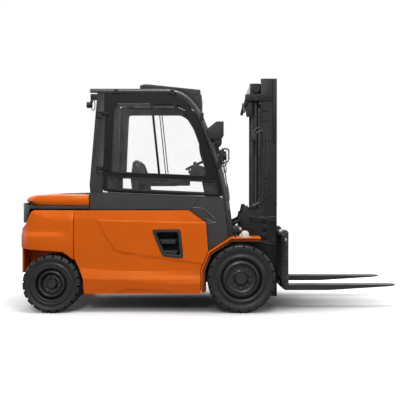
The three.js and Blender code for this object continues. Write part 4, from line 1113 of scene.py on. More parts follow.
housing_black = coated("housing_plastic", (0.026, 0.026, 0.027), 0.45, skin=420.0, relief=0.35)
shell = softened(whole("roof_housing", "roof_housing_shell"), 0.010, 3, smooth=26)
shell.data.materials.append(housing_black.material)
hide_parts("roof_housing")
extras = [block("junction", (-0.838, 0.44, 2.742), (-0.755, 0.56, 2.7885), 0.006),
          block("junction", (-0.838, -0.60, 2.742), (-0.755, -0.44, 2.7885), 0.006)]
for hand in SIDES.values():
    extras.append(block("hatch", (-0.175, hand * 0.598, 2.662), (-0.128, hand * 0.6075, 2.716), 0.003))
    for x, z in ((-0.72, 2.776), (-0.45, 2.748), (-0.30, 2.70), (-0.115, 2.53)):
        extras.append(rod("screw", (x, hand * 0.603, z), (x, hand * 0.610, z), 0.009, 12))
for i in range(7):
    z = 2.545 + i * 0.024
    extras.append(block("louvre", (-0.094, -0.40, z), (-0.080, 0.40, z + 0.009), 0.002))
for i in range(9):
    x = -0.68 + i * 0.036
    extras.append(block("grille", (x, -0.30, 2.790), (x + 0.014, 0.30, 2.7955 - (x + 0.68) * 0.10),
                        0.002))
fittings = joined("roof_housing_fittings", *extras)
fittings.data.materials.append(bezel_grey.material)
for piece in (shell, fittings):
    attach(piece, "root")


# ---------------------------------------------------------------- front lamp clusters
# On each front pillar a mirror case stands out on a bracket, with a round indicator under it
# and a square work lamp lower down, inside a bent rod guard. Two grab tubes run down beside it.

case_black = coated("lamp_case_black", (0.020, 0.0202, 0.021), 0.48, skin=420.0, relief=0.4)
lamp_glass = Finish("lamp_glass", Roughness=0.08, Specular_IOR_Level=0.6)
prisms = lamp_glass.node("TexWave", {"bands_direction": "Z"},
                         {"Vector": lamp_glass.place(), "Scale": 40.0})
lamp_glass.feed(Base_Color=lamp_glass.tint(prisms * lamp_glass.noise(60.0), (0.20, 0.21, 0.22),
                                           (0.62, 0.64, 0.65)))
lamp_glass.bump(prisms, 0.4, 0.0008)
amber = Finish("indicator_amber", Roughness=0.15, Specular_IOR_Level=0.5)
amber_rings = amber.node("TexWave", {"bands_direction": "Z"}, {"Vector": amber.place(), "Scale": 50.0})
amber.feed(Base_Color=amber.tint(amber_rings, (0.030, 0.018, 0.012), (0.055, 0.032, 0.018)))
amber.bump(amber_rings, 0.3, 0.0008)
silvered = Finish("mirror_glass", Metallic=1.0)
streak = silvered.noise(14.0)
silvered.feed(Base_Color=silvered.tint(streak, (0.60, 0.63, 0.64), (0.70, 0.72, 0.73)),
              Roughness=streak.fade(0.2, 0.8, 0.03, 0.08))

MIRROR_CASE = [(-0.020, 2.226, 0.018), (0.104, 2.326, 0.02), (0.194, 2.328, 0.012),
               (0.194, 2.157, 0.02), (0.165, 2.111, 0.02), (0.024, 2.111, 0.03)]
BRACKET = [(0.080, 2.062), (0.050, 2.150), (0.092, 2.150), (0.186, 1.850), (0.156, 1.850)]
for side, hand in SIDES.items():
    near, far = hand * 0.648, hand * 0.735
    shell = outlined("case", filleted(MIRROR_CASE, 0.01), near, far)
    softened(shell, 0.010, 3)
    arm = softened(outlined("arm", BRACKET, hand * 0.644, hand * 0.660), 0.003)
    feet = []
    for x, z in ((0.052, 2.120), (0.085, 2.010)):
        feet.append(block("foot", (x - 0.012, hand * 0.612, z - 0.028),
                          (x + 0.052, hand * 0.650, z + 0.028), 0.004))
    socket = stood(spun("socket", [(0, -0.02), (0.036, -0.02), (0.040, -0.008), (0.040, 0.014),
                                   (0.034, 0.022), (0, 0.022)], steps=32),
                   (0.110, hand * 0.690, 2.095), (0, 0, 1))
    neck = rod("neck", (0.115, hand * 0.690, 2.060), (0.130, hand * 0.690, 2.000), 0.007)
    head = block("head", (0.146, hand * 0.652, 1.838), (0.202, hand * 0.728, 1.984), 0.014, 3)
    bell = stood(spun("bell", [(0, -0.030), (0.034, -0.030), (0.050, -0.010), (0.056, 0.022),
                               (0.056, 0.030), (0.050, 0.030), (0.046, 0.020), (0, 0.020)], steps=36),
                 (0.196, hand * 0.690, 1.912), (1, 0, 0))
    knuckle_piece = rod("knuckle", (0.160, hand * 0.652, 1.870), (0.160, hand * 0.735, 1.870), 0.014)
    cluster = joined(f"lamp_cluster_{side}_case", shell, arm, *feet, socket, neck, bell, knuckle_piece,
                     head)
    cluster.data.materials.append(case_black.material)
    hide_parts(f"lamp_cluster_{side}")
    guard_rod = pipe(f"lamp_guard_{side}", [(0.168, hand * 0.742, 1.992), (0.222, hand * 0.742, 1.996),
                                            (0.250, hand * 0.742, 1.980), (0.254, hand * 0.742, 1.912),
                                            (0.250, hand * 0.742, 1.850), (0.222, hand * 0.742, 1.832),
                                            (0.168, hand * 0.742, 1.836)], 0.0075)
    other = pipe("guard", [(0.168, hand * 0.640, 1.992), (0.222, hand * 0.640, 1.996),
                           (0.250, hand * 0.640, 1.980), (0.254, hand * 0.640, 1.912),
                           (0.250, hand * 0.640, 1.850), (0.222, hand * 0.640, 1.832),
                           (0.168, hand * 0.640, 1.836)], 0.0075)
    ties = [rod("tie", (x, hand * 0.640, z), (x, hand * 0.742, z), 0.006, 12) for x,
            z in ((0.252, 1.94), (0.252, 1.88), (0.180, 1.995), (0.180, 1.834))]
    guard_rod = joined(f"lamp_guard_{side}", guard_rod, other, *ties)
    guard_rod.data.materials.append(rail_coat.material)
    handle = joined(f"grab_tubes_{side}",
                    pipe("tube", [(0.176, hand * 0.655, 1.840), (0.196, hand * 0.668, 1.790),
                                  (0.222, hand * 0.668, 1.64), (0.240, hand * 0.668, 1.50),
                                  (0.252, hand * 0.660, 1.42)], 0.0065),
                    pipe("tube", [(0.200, hand * 0.655, 1.840), (0.226, hand * 0.660, 1.76),
                                  (0.214, hand * 0.660, 1.66), (0.244, hand * 0.660, 1.54),
                                  (0.262, hand * 0.655, 1.42)], 0.0055),
                    block("foot", (0.240, hand * 0.636, 1.362), (0.268, hand * 0.668, 1.432), 0.006))
    handle.data.materials.append(rail_coat.material)
    lens_piece = stood(spun("lens", [(0, 0.0), (0.047, 0.0), (0.047, 0.006), (0.036, 0.012),
                                     (0.018, 0.015), (0, 0.016)], steps=36),
                       (0.214, hand * 0.690, 1.912), (1, 0, 0))
    lens_piece.name = f"work_lamp_lens_{side}"
    lens_piece.data.materials.append(lamp_glass.material)
    blinker = stood(spun("blinker", [(0, -0.012), (0.037, -0.012), (0.037, 0.0), (0.028, 0.012),
                                     (0, 0.016)], steps=32), (0.110, hand * 0.690, 2.070), (0, 0, -1))
    blinker.name = f"indicator_lens_{side}"
    blinker.data.materials.append(amber.material)
    mirror = outlined("mirror", filleted([(0.020, 2.206), (0.092, 2.262), (0.150, 2.262),
                                          (0.150, 2.150), (0.036, 2.150)], 0.01), hand * 0.6465,
                      hand * 0.650)
    mirror.name = f"mirror_glass_{side}"
    mirror.data.materials.append(silvered.material)
    for piece, finish in ((cluster, "black_plastic"), (guard_rod, "frame_black"),
                          (handle, "frame_black"),
                          (lens_piece, "window_glass"), (blinker, "window_glass"),
                          (mirror, "window_glass")):
        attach(piece, "root")


# ---------------------------------------------------------------- rear lamps
# A round reversing lamp hangs behind each rear pillar on a folded bracket, with a swivel and
# a short looped lead that runs straight back into the bracket.

for side, hand in SIDES.items():
    y = hand * 0.612
    can = stood(spun("can", [(0, -0.046), (0.020, -0.046), (0.036, -0.020), (0.038, 0.012),
                             (0.038, 0.020), (0.033, 0.020), (0.031, 0.014), (0, 0.014)], steps=36),
                (-1.468, y, 2.540), (-1, 0, 0))
    fins = [stood(spun("fin", [(0.0, -0.002), (0.0375, -0.002), (0.0375, 0.002), (0, 0.002)], steps=32),
                  (-1.448 + 0.010 * i, y, 2.540), (-1, 0, 0)) for i in range(3)]
    plate = softened(outlined("plate", filleted([(-1.445, 2.600), (-1.3700, 2.600), (-1.3590, 2.676),
                                                 (-1.445, 2.676)], 0.012), hand * 0.602, hand * 0.622),
                     0.003)
    hanger = softened(outlined("hanger", filleted([(-1.452, 2.545), (-1.425, 2.545), (-1.405, 2.61),
                                                   (-1.430, 2.61)], 0.006), hand * 0.604, hand * 0.618),
                      0.003)
    swivel = rod("swivel", (-1.440, y - 0.016, 2.585), (-1.440, y + 0.016, 2.585), 0.010)
    lead = pipe("lead", [(-1.432, y, 2.515), (-1.424, y, 2.484), (-1.404, y, 2.478), (-1.392, y, 2.510),
                         (-1.396, y, 2.600)], 0.0055)
    lamp_piece = joined(f"rear_lamp_{side}_case", can, *fins, plate, swivel, lead, hanger)
    lamp_piece.data.materials.append(case_black.material)
    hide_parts(f"rear_lamp_{side}")
    lens_piece = stood(spun("lens", [(0, 0.0), (0.032, 0.0), (0.032, 0.004), (0.020, 0.008),
                                     (0, 0.010)], steps=32), (-1.479, y, 2.540), (-1, 0, 0))
    lens_piece.name = f"rear_lamp_lens_{side}"
    lens_piece.data.materials.append(lamp_glass.material)
    for piece, finish in ((lamp_piece, "black_plastic"), (lens_piece, "window_glass")):
        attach(piece, "root")


# ---------------------------------------------------------------- doors
# Each door is one pressed steel frame, hung on two pins at its back edge. Its windows sit in
# rubber gaskets with rounded corners, and the upper one slides behind a slim stile.

DOOR = [(-1.258, 2.672, 0.03), (-1.288, 1.480, 0.03), (0.189, 1.412, 0.035), (0.143, 1.606, 0.1),
        (0.069, 1.876, 0.3), (0.006, 2.046, 0.3),
        (-0.066, 2.240, 0.3), (-0.143, 2.402, 0.3), (-0.213, 2.511, 0.2), (-0.306, 2.605, 0.2),
        (-0.442, 2.672, 0.2)]
UPPER = [(-1.150, 2.566, 0.05), (-1.187, 1.712, 0.045), (-0.010, 1.660, 0.05), (-0.048, 1.861, 0.4),
         (-0.120, 2.131, 0.4), (-0.205, 2.360, 0.2),
         (-0.292, 2.504, 0.10), (-0.390, 2.566, 0.12)]
LOWER = [(-1.238, 1.662, 0.02), (-1.240, 1.504, 0.025), (0.134, 1.440, 0.035), (0.106, 1.604, 0.03)]
STILE = [(-0.704, 2.572), (-0.678, 2.572), (-0.583, 1.664), (-0.609, 1.664)]
door_black = coated("door_black", (0.0055, 0.0055, 0.0058), 0.42, skin=640.0, relief=0.2, dusty=0.03,
                    Specular_IOR_Level=0.16)
gasket_grey = coated("gasket_rubber", (0.030, 0.030, 0.031), 0.55, skin=200.0, relief=0.2)

for side, hand in SIDES.items():
    frame_piece = outlined(f"door_{side}_frame", filleted(DOOR, 0.03), hand * 0.612, hand * 0.640)
    cut(frame_piece, outlined("window", filleted(UPPER, 0.03), hand * 0.58, hand * 0.66),
        outlined("window", filleted(LOWER, 0.03), hand * 0.58, hand * 0.66))
    softened(frame_piece, 0.005, 2, sharp=60, smooth=20)
    parts = []
    for z in (2.424, 1.750):
        parts.append(rod("barrel", (-1.291, hand * 0.652, z - 0.021), (-1.291, hand * 0.652, z + 0.021),
                         0.0105, 20))
        parts.append(block("leaf", (-1.285, hand * 0.6425, z - 0.019),
                           (-1.216, hand * 0.6505, z + 0.019), 0.002))
        parts.append(block("root", (-1.246, hand * 0.638, z - 0.019), (-1.216, hand * 0.646, z + 0.019),
                           0.002))
        for x in (-1.238, -1.224):
            parts.append(rod("screw", (x, hand * 0.650, z), (x, hand * 0.654, z), 0.005, 6))
    frame_piece = joined(f"door_{side}_frame", *parts, frame_piece)
    frame_piece.data.materials.append(door_black.material)
    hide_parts(f"door_{side}")

    rings = []
    for outline in (UPPER, LOWER):
        rounded_outline = filleted(grown(outline[::-1], 0.004), 0.03)
        rings.append(pipe("gasket", [(x, hand * 0.6395, z) for x, z in rounded_outline], 0.0055,
                          closed=True, sides=1, smooth=2))
    gasket = joined(f"door_{side}_gaskets", *rings)
    gasket.data.materials.append(gasket_grey.material)

    if hand < 0:
        bars = [outlined("stile", STILE, hand * 0.600, hand * 0.637)]
    else:
        bars = [outlined("stile", [(x + dx, z) for x,
                                   z in ((-0.708, 2.572), (-0.696, 2.572), (-0.601, 1.664),
                                         (-0.613, 1.664))], hand * 0.600, hand * 0.637)
                for dx in (0.0, 0.034)]
    slats = [outlined("run", [(-1.182, 1.722), (-1.182, 1.708), (-0.01, 1.656), (-0.013, 1.670)],
                      hand * 0.600, hand * 0.620),
             outlined("run", [(-1.150, 2.560), (-1.150, 2.572), (-0.40, 2.572), (-0.40, 2.560)],
                      hand * 0.600, hand * 0.620)]
    stile = joined(f"door_{side}_stile", *[softened(piece, 0.002) for piece in bars + slats])
    stile.data.materials.append(door_black.material)

    latch = joined(f"door_{side}_latch",
                   block("lock", (-0.02, hand * 0.575, 1.66), (0.06, hand * 0.612, 1.73), 0.008),
                   pipe("pull", [(0.00, hand * 0.585, 1.73), (-0.04, hand * 0.560, 1.80),
                                 (-0.10, hand * 0.556, 2.02), (-0.09, hand * 0.585, 2.10)], 0.010))
    latch.data.materials.append(cowl_black.material)

    edge = [(x, hand * 0.600, z) for x, z in filleted(grown(DOOR[::-1], 0.005), 0.03)]
    weather = pipe(f"door_seal_{side}", edge, 0.009, closed=True, sides=1, smooth=2)
    weather.data.materials.append(rubber_and_shade_black.material)
    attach(weather, "root")

    pane = softened(whole(f"door_glass_{side}", f"door_{side}_pane"), 0.001, 1)
    pane.data.materials.append(glass.material)
    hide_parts(f"door_glass_{side}")
    for piece, finish in ((frame_piece, "frame_black"), (gasket, "black_plastic"),
                          (stile, "frame_black"), (latch, "black_plastic"),
                          (pane, "window_glass")):
        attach(piece, f"door_{side}")


# ---------------------------------------------------------------- axles and knuckles
# The drive axle is one forged and turned tube across the chassis cheeks. The steer axle is a
# cast beam with kingpins, and each knuckle turns on it. All are painted satin black.

axle_coat = coated("axle_black", (0.012, 0.012, 0.0125), 0.5, skin=160.0, relief=0.4, dusty=0.16)
tube = softened(whole("drive_axle", "drive_axle_tube"), 0.003)
beam = softened(whole("steer_axle", "steer_axle_beam"), 0.008, 3)
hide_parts("drive_axle")
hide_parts("steer_axle")
carriers = [(tube, "root"), (beam, "root")]
for side in SIDES:
    carrier = softened(whole(f"knuckle_{side}", f"knuckle_{side}_forging"), 0.004)
    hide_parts(f"knuckle_{side}")
    carriers.append((carrier, f"knuckle_{side}"))
for piece, body in carriers:
    piece.data.materials.append(axle_coat.material)
    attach(piece, body)


# ---------------------------------------------------------------- wheels
# Heavy industrial tyres with twenty square tread blocks on each shoulder, a raised ring round
# the sidewall, and pressed steel disc wheels with a lock ring, a hub and a ring of nuts.

rubber = Finish("tyre_rubber", Specular_IOR_Level=0.38)
grime = rubber.noise(11.0, 6.0, 0.65)
scuff = rubber.noise(150.0, 3.0)
dust = rubber.height().fade(0.20, 0.01, 0.0, 0.05) * grime.fade(0.35, 0.65)
tone = rubber.tint(grime.fade(0.3, 0.7), (0.0095, 0.0097, 0.0100), (0.0130, 0.0132, 0.0135))
rubber.feed(Base_Color=rubber.tint(dust, tone, (0.10, 0.10, 0.095)),
            Roughness=grime.fade(0.3, 0.7, 0.34, 0.48))
rubber.bump(scuff, 0.5, 0.0008)
rim_coat = coated("rim_black", (0.013, 0.013, 0.0135), 0.36, skin=300.0, relief=0.12, dusty=0.03,
                  Specular_IOR_Level=0.5)
nut_coat = coated("nut_black", (0.024, 0.024, 0.024), 0.35, skin=200.0, relief=0.2,
                  Specular_IOR_Level=0.5)

LUGS = 20
WHEELS = {
    "front": {"radius": 0.4148, "half": 0.151, "x": 0.408, "y": 0.609, "z": 0.41499,
              "disc": [(0, 0.012), (0.150, 0.012), (0.180, -0.006), (0.214, -0.030), (0.222, -0.141),
                       (0.2435, -0.141),
                       (0.2435, 0.092), (0.2375, 0.096), (0.2365, 0.106), (0.226, 0.114),
                       (0.200, 0.1285), (0.194, 0.131),
                       (0.189, 0.1295), (0.187, 0.124), (0.186, 0.060), (0.180, 0.046), (0.165, 0.037),
                       (0.150, 0.034),
                       (0.104, 0.034), (0.092, 0.038), (0.080, 0.044), (0.0765, 0.080), (0.070, 0.087),
                       (0.050, 0.088),
                       (0.046, 0.082), (0, 0.081)],
              "flank": [(0.2443, 0.034), (0.2465, 0.020), (0.251, 0.010), (0.260, 0.004),
                        (0.270, 0.001), (0.279, 0.001),
                        (0.297, 0.013), (0.318, 0.014), (0.338, 0.006)],
              "nuts": (10, 0.120, 0.034, 0.0165)},
    "rear": {"radius": 0.3535, "half": 0.150, "x": -1.896, "y": 0.610, "z": 0.35379,
             "disc": [(0, 0.042), (0.105, 0.042), (0.135, 0.026), (0.160, 0.000), (0.168, -0.140),
                      (0.1855, -0.140),
                      (0.1855, 0.098), (0.180, 0.104), (0.172, 0.112), (0.160, 0.130), (0.150, 0.138),
                      (0.143, 0.138),
                      (0.136, 0.132), (0.128, 0.112), (0.122, 0.084), (0.112, 0.070), (0.100, 0.064),
                      (0.074, 0.064),
                      (0.066, 0.068), (0.061, 0.076), (0.058, 0.104), (0.051, 0.112), (0.036, 0.113),
                      (0.032, 0.108),
                      (0, 0.107)],
             "flank": [(0.1863, 0.034), (0.188, 0.022), (0.192, 0.012), (0.200, 0.006), (0.232, 0.006),
                       (0.240, 0.001),
                       (0.248, 0.001), (0.261, 0.011), (0.280, 0.011), (0.296, 0.004)],
             "nuts": (8, 0.089, 0.064, 0.0135)},
}

for axle, made in WHEELS.items():
    radius, half = made["radius"], made["half"]
    flank = [*[(reach, half - drop) for reach, drop in made["flank"]], (radius - 0.046, half),
             (radius - 0.020, half - 0.004),
             (radius - 0.006, half - 0.014), (radius, half - 0.030)]
    section = flank + [(radius, 0.010), (radius - 0.004, 0.006), (radius - 0.004, -0.006),
                       (radius, -0.010)]
    section += [(r, -y) for r, y in reversed(flank)]
    tyre = spun("tyre", section, steps=80)
    bites = []
    for i in range(LUGS):
        for out in (1, -1):
            bite = block("bite", (radius - 0.038, out * (half - 0.085), -0.0105),
                         (radius + 0.02, out * (half + 0.02), 0.0105), 0)
            turn = math.tau / LUGS * (i + (0.5 if out < 0 else 0.25))
            bite.data.transform(Matrix.Rotation(turn, 4, "Y"))
            bites.append(bite)
    cut(tyre, joined("bites", *bites))
    softened(tyre, 0, smooth=24)
    disc = spun("disc", made["disc"], steps=64)
    count, reach, seat_y, size = made["nuts"]
    nuts = []
    for i in range(count):
        angle = math.tau * (i + 0.5) / count
        x, z = reach * math.cos(angle), reach * math.sin(angle)
        nuts.append(rod("nut", (x, seat_y - 0.002, z), (x, seat_y + 0.020, z), size, 6))
        nuts.append(rod("stud", (x, seat_y + 0.018, z), (x, seat_y + 0.030, z), size * 0.5, 12))
        nuts.append(rod("washer", (x, seat_y - 0.002, z), (x, seat_y + 0.004, z), size * 1.35, 16))
    valve = rod("valve", (reach * 1.55, seat_y, 0.0), (reach * 1.60, seat_y + 0.045, 0.0), 0.006, 10)
    nut_ring = joined("nuts", *nuts, valve)
    for side, hand in SIDES.items():
        for source, name, coat, node, finish in ((tyre, "tyre_tread", rubber, "tyre", "tyre_rubber"),
                                                 (disc, "rim_disc", rim_coat, "rim", "rim_black"),
                                                 (nut_ring, "wheel_nuts", nut_coat, None, "rim_black")):
            make = mirrored if hand < 0 else beside
            piece = make(source, f"{axle}_{side}_{name}")
            piece.data.transform(Matrix.Translation((made["x"], hand * made["y"], made["z"])))
            piece.data.materials.clear()
            piece.data.materials.append(coat.material)
            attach(piece, f"{axle}_wheel_{side}")
            if node:
                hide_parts(f"{axle}_{node}_{side}")
    for source in (tyre, disc, nut_ring):
        bpy.data.objects.remove(source)


# ---------------------------------------------------------------- mast
# Two pairs of rolled channels nest and slide in one another, welded to cross ties. The lift
# cylinders stand behind them, and a pressed guard plate with slots is bolted to each foot.
# Near-black sheets in the slots and along the plate's recessed panel are painted shade, and light
# grey beads on its ridges are painted highlights.

mast_coat = coated("mast_black", (0.0125, 0.0127, 0.0133), 0.42, skin=260.0, relief=0.3, dusty=0.04)
barrel_coat = coated("cylinder_black", (0.012, 0.012, 0.0125), 0.24, skin=200.0, relief=0.15,
                     Specular_IOR_Level=0.4)

outer = softened(whole("mast_outer", "mast_outer_rails"), 0.0025)
inner = softened(whole("mast_inner", "mast_inner_rails"), 0.0025)
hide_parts("mast_outer")
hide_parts("mast_inner")
for piece, body in ((outer, "mast_outer"), (inner, "mast_inner")):
    piece.data.materials.append(mast_coat.material)
    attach(piece, body)

RIDGES = [[(0.522, 1.184), (0.560, 1.158), (0.640, 1.146), (0.750, 1.149), (0.864, 1.158)],
          [(0.676, 0.838), (0.770, 0.816), (0.864, 0.796)]]
ridge_painted_highlight = coated("ridge_painted_highlight_grey", (0.085, 0.085, 0.088), 0.30, skin=200.0, relief=0.1, dusty=0.0,
                   Specular_IOR_Level=0.6)
DARK_LINES = [[(0.762, 1.090), (0.868, 1.078), (0.868, 1.072), (0.768, 1.083), (0.768, 0.992),
               (0.762, 0.992)],
              [(0.676, 0.838), (0.868, 0.796), (0.868, 0.790), (0.676, 0.831)]]
ANCHOR = [(0.462, 2.560), (0.500, 2.612), (0.560, 2.612), (0.572, 2.520), (0.560, 2.425),
          (0.490, 2.420), (0.478, 2.500)]
SLOT_HEIGHTS = (1.086, 0.986, 0.886)
WELD_HEIGHTS = (2.486, 2.364)
LIFT_X, LIFT_Y, ROD_BORE = 0.610, 0.300, 0.0265
FOOT_PLATE = [(0.520, 1.186, 0.02), (0.868, 1.116, 0.01), (0.868, 0.788, 0.01), (0.690, 0.826, 0.02),
              (0.672, 0.850, 0.02),
              (0.672, 1.060, 0.02), (0.520, 1.110, 0.02)]
for side, hand in SIDES.items():
    plate = outlined("plate", filleted(FOOT_PLATE, 0.01), hand * 0.3995, hand * 0.408)
    panel = outlined("panel", filleted([(0.768, 1.082), (0.858, 1.072), (0.858, 0.860), (0.790, 0.872)],
                                       0.012), hand * 0.404, hand * 0.42)
    for z in SLOT_HEIGHTS:
        cut(plate, outlined("slot", filleted([(0.684, z + 0.012), (0.748, z + 0.012),
                                              (0.740, z - 0.028), (0.690, z - 0.030)], 0.008),
                            hand * 0.403, hand * 0.42))
    cut(plate, panel)
    softened(plate, 0.0025, 2)
    # Painted shade: near-black sheets at the floor of each slot and along the edges of the recessed
    # panel, where shade falls. The weld strips and the gap beside the edge strip are dark joints.
    depths = [outlined("floor", [(0.682, z + 0.014), (0.750, z + 0.014), (0.742, z - 0.030),
                                 (0.688, z - 0.032)], hand * 0.4015, hand * 0.4036)
              for z in SLOT_HEIGHTS]
    depths += [outlined("line", filleted([(x, z) for x, z in shape], 0.004), hand * 0.4035,
                        hand * 0.4085) for shape in DARK_LINES]
    depths += [block("weld", (0.684, hand * 0.399, z), (0.764, hand * 0.4022, z + 0.008), 0.001)
               for z in WELD_HEIGHTS]
    depths += [block("gap", (0.8215, hand * 0.399, 2.104), (0.8275, hand * 0.4022, 2.895), 0.001)]
    # Painted highlights: light grey beads laid along the ridges of the guard plate, where they catch
    # the light.
    ridges = [pipe("ridge", [(x, hand * 0.4085, z) for x, z in line], 0.0022, sides=1, smooth=3)
              for line in RIDGES]
    ridge = joined(f"mast_foot_ridges_{side}", *ridges)
    ridge.data.materials.append(ridge_painted_highlight.material)
    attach(ridge, "mast_outer")
    depth = joined(f"mast_foot_shade_and_joints_{side}", *depths)
    depth.data.materials.append(rubber_and_shade_black.material)
    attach(depth, "mast_outer")
    beads = [outlined("strap", filleted([(0.470, 2.705), (0.824, 2.705), (0.824, 2.622), (0.520, 2.622),
                                         (0.470, 2.640)], 0.012), hand * 0.3995, hand * 0.411)]
    softened(beads[0], 0.004, 3)
    beads += [softened(outlined("strip", filleted([(0.828, 2.898), (0.8735, 2.898), (0.8735, 2.090),
                                                   (0.828, 2.098)], 0.004), hand * 0.3995,
                                hand * 0.412), 0.006, 3)]
    beads += [rod("bolt", (x, hand * 0.407, z), (x, hand * 0.416, z), 0.012, 6) for x,
              z in ((0.548, 1.148), (0.700, 1.122), (0.846, 1.096), (0.846, 0.820))]
    beads += [rod("pin", (0.616, hand * 0.398, 2.640), (0.616, hand * 0.412, 2.640), 0.022, 20)]
    if hand < 0:
        beads.append(softened(outlined("anchor", filleted(ANCHOR, 0.016), hand * 0.352, hand * 0.384),
                              0.008, 3))
    beads += [stood(spun("gland", [(ROD_BORE, -0.016), (0.0495, -0.016), (0.0505, -0.010),
                                   (0.0505, 0.000), (0.046, 0.004), (ROD_BORE, 0.004)], steps=32),
                    (LIFT_X, hand * LIFT_Y, 2.600), (0, 0, 1))]
    sleeve = stood(spun(f"lift_sleeve_{side}", [(ROD_BORE, -0.330), (0.0475, -0.330), (0.0475, 0.330),
                                                (ROD_BORE, 0.330)], steps=40),
                   (LIFT_X, hand * LIFT_Y, 2.275), (0, 0, 1))
    sleeve.name = f"lift_sleeve_{side}"
    sleeve.data.materials.append(barrel_coat.material)
    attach(sleeve, "mast_outer")
    guard_plate = joined(f"mast_foot_plate_{side}", *beads, plate)
    guard_plate.data.materials.append(mast_coat.material)
    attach(guard_plate, "mast_outer")

    sheave = stood(spun("sheave", [(0.012, -0.007), (0.056, -0.007), (0.058, -0.004), (0.050, -0.002),
                                   (0.050, 0.002), (0.058, 0.004), (0.056, 0.007), (0.012, 0.007)],
                        steps=40), (LIFT_X, hand * 0.362, 2.790), (0, 1, 0))
    head = [sheave, rod("axle", (LIFT_X, hand * 0.335, 2.790), (LIFT_X, hand * 0.366, 2.790), 0.0125)]
    for x, z in ((0.585, 2.835), (0.635, 2.835), (LIFT_X, 2.790)):
        head.append(rod("bolt", (x, hand * 0.338, z), (x, hand * 0.350, z), 0.008, 6))
    head = joined(f"lift_head_{side}", *head)
    head.data.materials.append(mast_coat.material)
    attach(head, "mast_inner")


# ---------------------------------------------------------------- mast hoses
# Two rubber hydraulic hoses arch over the top of the right lift cylinder, run down the outside
# of the rail under two clamps, and curve back into crimped steel fittings at both ends.

hose_rubber = coated("hose_rubber", (0.0075, 0.0075, 0.0078), 0.32, skin=900.0, relief=0.2, dusty=0.0,
                     Specular_IOR_Level=0.65)
crimp = coated("crimp_zinc", (0.05, 0.05, 0.05), 0.36, skin=200.0, relief=0.3, dusty=0.0,
               Specular_IOR_Level=0.6)

hoses = [pipe("line", [(x, -0.409, 1.290), (x, -0.409, 1.560), (x, -0.409, 1.830), (x, -0.409, 2.112)],
              0.0085, sides=3, smooth=2) for x in (0.546, 0.566)]
for line_x, arch_z, start_x, end_x in ((0.709, 2.276, 0.566, 0.560), (0.742, 2.238, 0.590, 0.584)):
    y = -0.4155
    route = [(start_x, y, 2.145), (start_x + 0.006, y, 2.190), (start_x + 0.026, y, arch_z - 0.030),
             ((start_x + line_x) / 2, y, arch_z),
             (line_x - 0.016, y, arch_z - 0.034), (line_x, y, 2.130), (line_x, y, 1.900),
             (line_x, y, 1.640), (line_x - 0.006, y, 1.480),
             (line_x - 0.052, y, 1.360), (end_x, y, 1.292)]
    hoses.append(pipe("hose", route, 0.0098, sides=3, smooth=10))
lines = joined("mast_hose_lines", *hoses)
lines.data.materials.append(hose_rubber.material)
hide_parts("mast_hoses")
holders = [block("manifold", (0.545, -0.422, 2.106), (0.612, -0.3995, 2.152), 0.006),
           block("manifold", (0.520, -0.424, 1.252), (0.602, -0.3995, 1.298), 0.006)]
for z in (2.124, 1.650):
    holders.append(block("clamp", (0.692, -0.425, z - 0.013), (0.759, -0.3995, z + 0.013), 0.005))
    holders.append(rod("bolt", (0.7255, -0.424, z), (0.7255, -0.432, z), 0.007, 6))
holder = joined("hose_clamps", *holders)
holder.data.materials.append(mast_coat.material)
ends = []
for x in (0.566, 0.590):
    ends.append(rod("sleeve", (x, -0.412, 2.138), (x + 0.004, -0.412, 2.190), 0.0115, 16))
    ends.append(rod("nut", (x, -0.412, 2.146), (x, -0.412, 2.160), 0.0135, 6))
for x in (0.560, 0.584):
    ends.append(rod("sleeve", (x, -0.412, 1.290), (x + 0.020, -0.412, 1.322), 0.0115, 16))
    ends.append(rod("nut", (x, -0.412, 1.284), (x, -0.412, 1.300), 0.0135, 6))
fitting = joined("hose_fittings", *ends)
fitting.data.materials.append(crimp.material)
for piece, finish in ((lines, "hose_rubber"), (holder, "mast_black"), (fitting, "chrome_rod")):
    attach(piece, "mast_outer")


# ---------------------------------------------------------------- tilt cylinders
# Black cylinders between the chassis and the mast, with a screwed gland, a rod that is kept
# oiled and dark, and eyes on pins at both ends.

oiled = Finish("oiled_rod", Specular_IOR_Level=0.5)
drawn = oiled.noise(240.0, 3.0, stretch=(1, 6, 1))
oiled.feed(Base_Color=oiled.tint(drawn, (0.022, 0.022, 0.023), (0.034, 0.034, 0.035)),
           Roughness=drawn.fade(0.2, 0.8, 0.28, 0.42))
oiled.bump(drawn, 0.1, 0.0003)
PIVOT = Vector((-0.180, 0, 0.800))
TILT_LINE = (Vector((0.440, 0, 1.120)) - PIVOT).normalized()
for side, hand in SIDES.items():
    away = Vector((0, hand * 0.325, 0))
    barrel = softened(whole(f"tilt_cylinder_{side}", f"tilt_cylinder_{side}_barrel"), 0.002)
    gland = stood(spun("gland", [(0.0228, -0.030), (0.046, -0.030), (0.047, -0.024), (0.047, 0.004),
                                 (0.043, 0.008), (0.0228, 0.008)], steps=32),
                  PIVOT + away + TILT_LINE * 0.470, TILT_LINE)
    port = rod("port", PIVOT + away + TILT_LINE * 0.11 + Vector((0, 0, 0.038)),
               PIVOT + away + TILT_LINE * 0.11 + Vector((0, 0, 0.062)), 0.013, 12)
    barrel = joined(f"tilt_cylinder_{side}_barrel", gland, port, barrel)
    barrel.data.materials.append(barrel_coat.material)
    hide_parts(f"tilt_cylinder_{side}")
    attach(barrel, f"tilt_cylinder_{side}")
    stem = softened(whole(f"tilt_rod_{side}", f"tilt_rod_{side}_stem"), 0.002)
    stem.data.materials.append(oiled.material)
    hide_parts(f"tilt_rod_{side}")
    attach(stem, f"tilt_rod_{side}")


# ---------------------------------------------------------------- lift valve
# A cast steel valve bank on the front bulkhead between the tilt cylinders, with its section
# caps and hose ports. It is painted with the chassis.

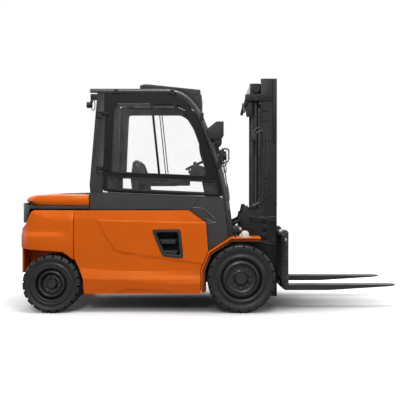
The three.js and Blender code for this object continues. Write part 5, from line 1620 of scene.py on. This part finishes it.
bank = [block("bank", (0.215, -0.190, 0.850), (0.415, 0.190, 1.005), 0.012, 3)]
for y in (-0.15, -0.09, -0.03, 0.03, 0.09, 0.15):
    bank.append(rod("cap", (0.245, y, 1.000), (0.245, y, 1.028), 0.020, 20))
    bank.append(rod("port", (0.355, y, 1.000), (0.355, y, 1.020), 0.017, 6))
valve = joined("lift_valve_bank", *bank)
valve.data.materials.append(axle_coat.material)
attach(valve, "root")


# ---------------------------------------------------------------- carriage and forks
# Two heavy bars ride in the mast on rollers and carry the forks, which hook over them. The
# forks are forged and painted black; the tops of their blades turn light grey and metallic towards
# the tips, partly wear and partly a painted highlight of the lit top face.

carrier = softened(whole("carriage", "carriage_frame"), 0.004)
carrier.data.materials.append(mast_coat.material)
ends = [block("stop", (0.903, hand * 0.690, z), (0.942, hand * 0.703, z + 0.10), 0.006)
        for hand in SIDES.values() for z in (0.300, 0.850)]
stops = joined("carriage_stops", *ends)
stops.data.materials.append(mast_coat.material)
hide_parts("carriage")
for piece in (carrier, stops):
    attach(piece, "carriage")

forged = Finish("forged_black", Specular_IOR_Level=0.35)
scale = forged.noise(60.0, 5.0, 0.6)
mottle = forged.noise(5.0, 5.0, 0.6)
run = forged.node("SeparateXYZ", None, {0: forged.node("TexCoord", output=3)})
# Partly wear and partly painted highlight: the top of each blade turns light grey and metallic, more so
# towards the tip.
wear_and_painted_highlight = run.fade(1.2, 2.3, 0.15, 0.75) * forged.height().fade(0.296, 0.303) * forged.noise(14.0, 6.0,
        0.75, stretch=(0.3, 2, 1)).fade(0.42, 0.62)
black_scale = forged.tint(mottle, (0.020, 0.020, 0.0205), (0.030, 0.030, 0.031))
forged.feed(Base_Color=forged.tint(wear_and_painted_highlight, black_scale, (0.30, 0.30, 0.31)), Metallic=wear_and_painted_highlight,
            Roughness=mottle.fade(0.3, 0.7, 0.36, 0.50))
forged.bump(scale, 0.25, 0.0008)
for side, hand in SIDES.items():
    tine = softened(whole(f"fork_{side}", f"fork_{side}_forging"), 0.005, 3)
    tine.data.materials.append(forged.material)
    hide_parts(f"fork_{side}")
    pins = [stood(spun("pin", [(0, -0.012), (0.020, -0.012), (0.022, 0.0), (0.020, 0.010),
                               (0.010, 0.014), (0, 0.014)], steps=24), (x, hand * 0.474, z),
                  (0, hand, 0))
            for x, z in ((0.912, 0.976), (0.968, 0.868))]
    pin = joined(f"fork_{side}_pins", *pins)
    pin.data.materials.append(plated.material)
    for piece, finish in ((tine, "fork_black"), (pin, "chrome_rod")):
        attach(piece, f"fork_{side}")
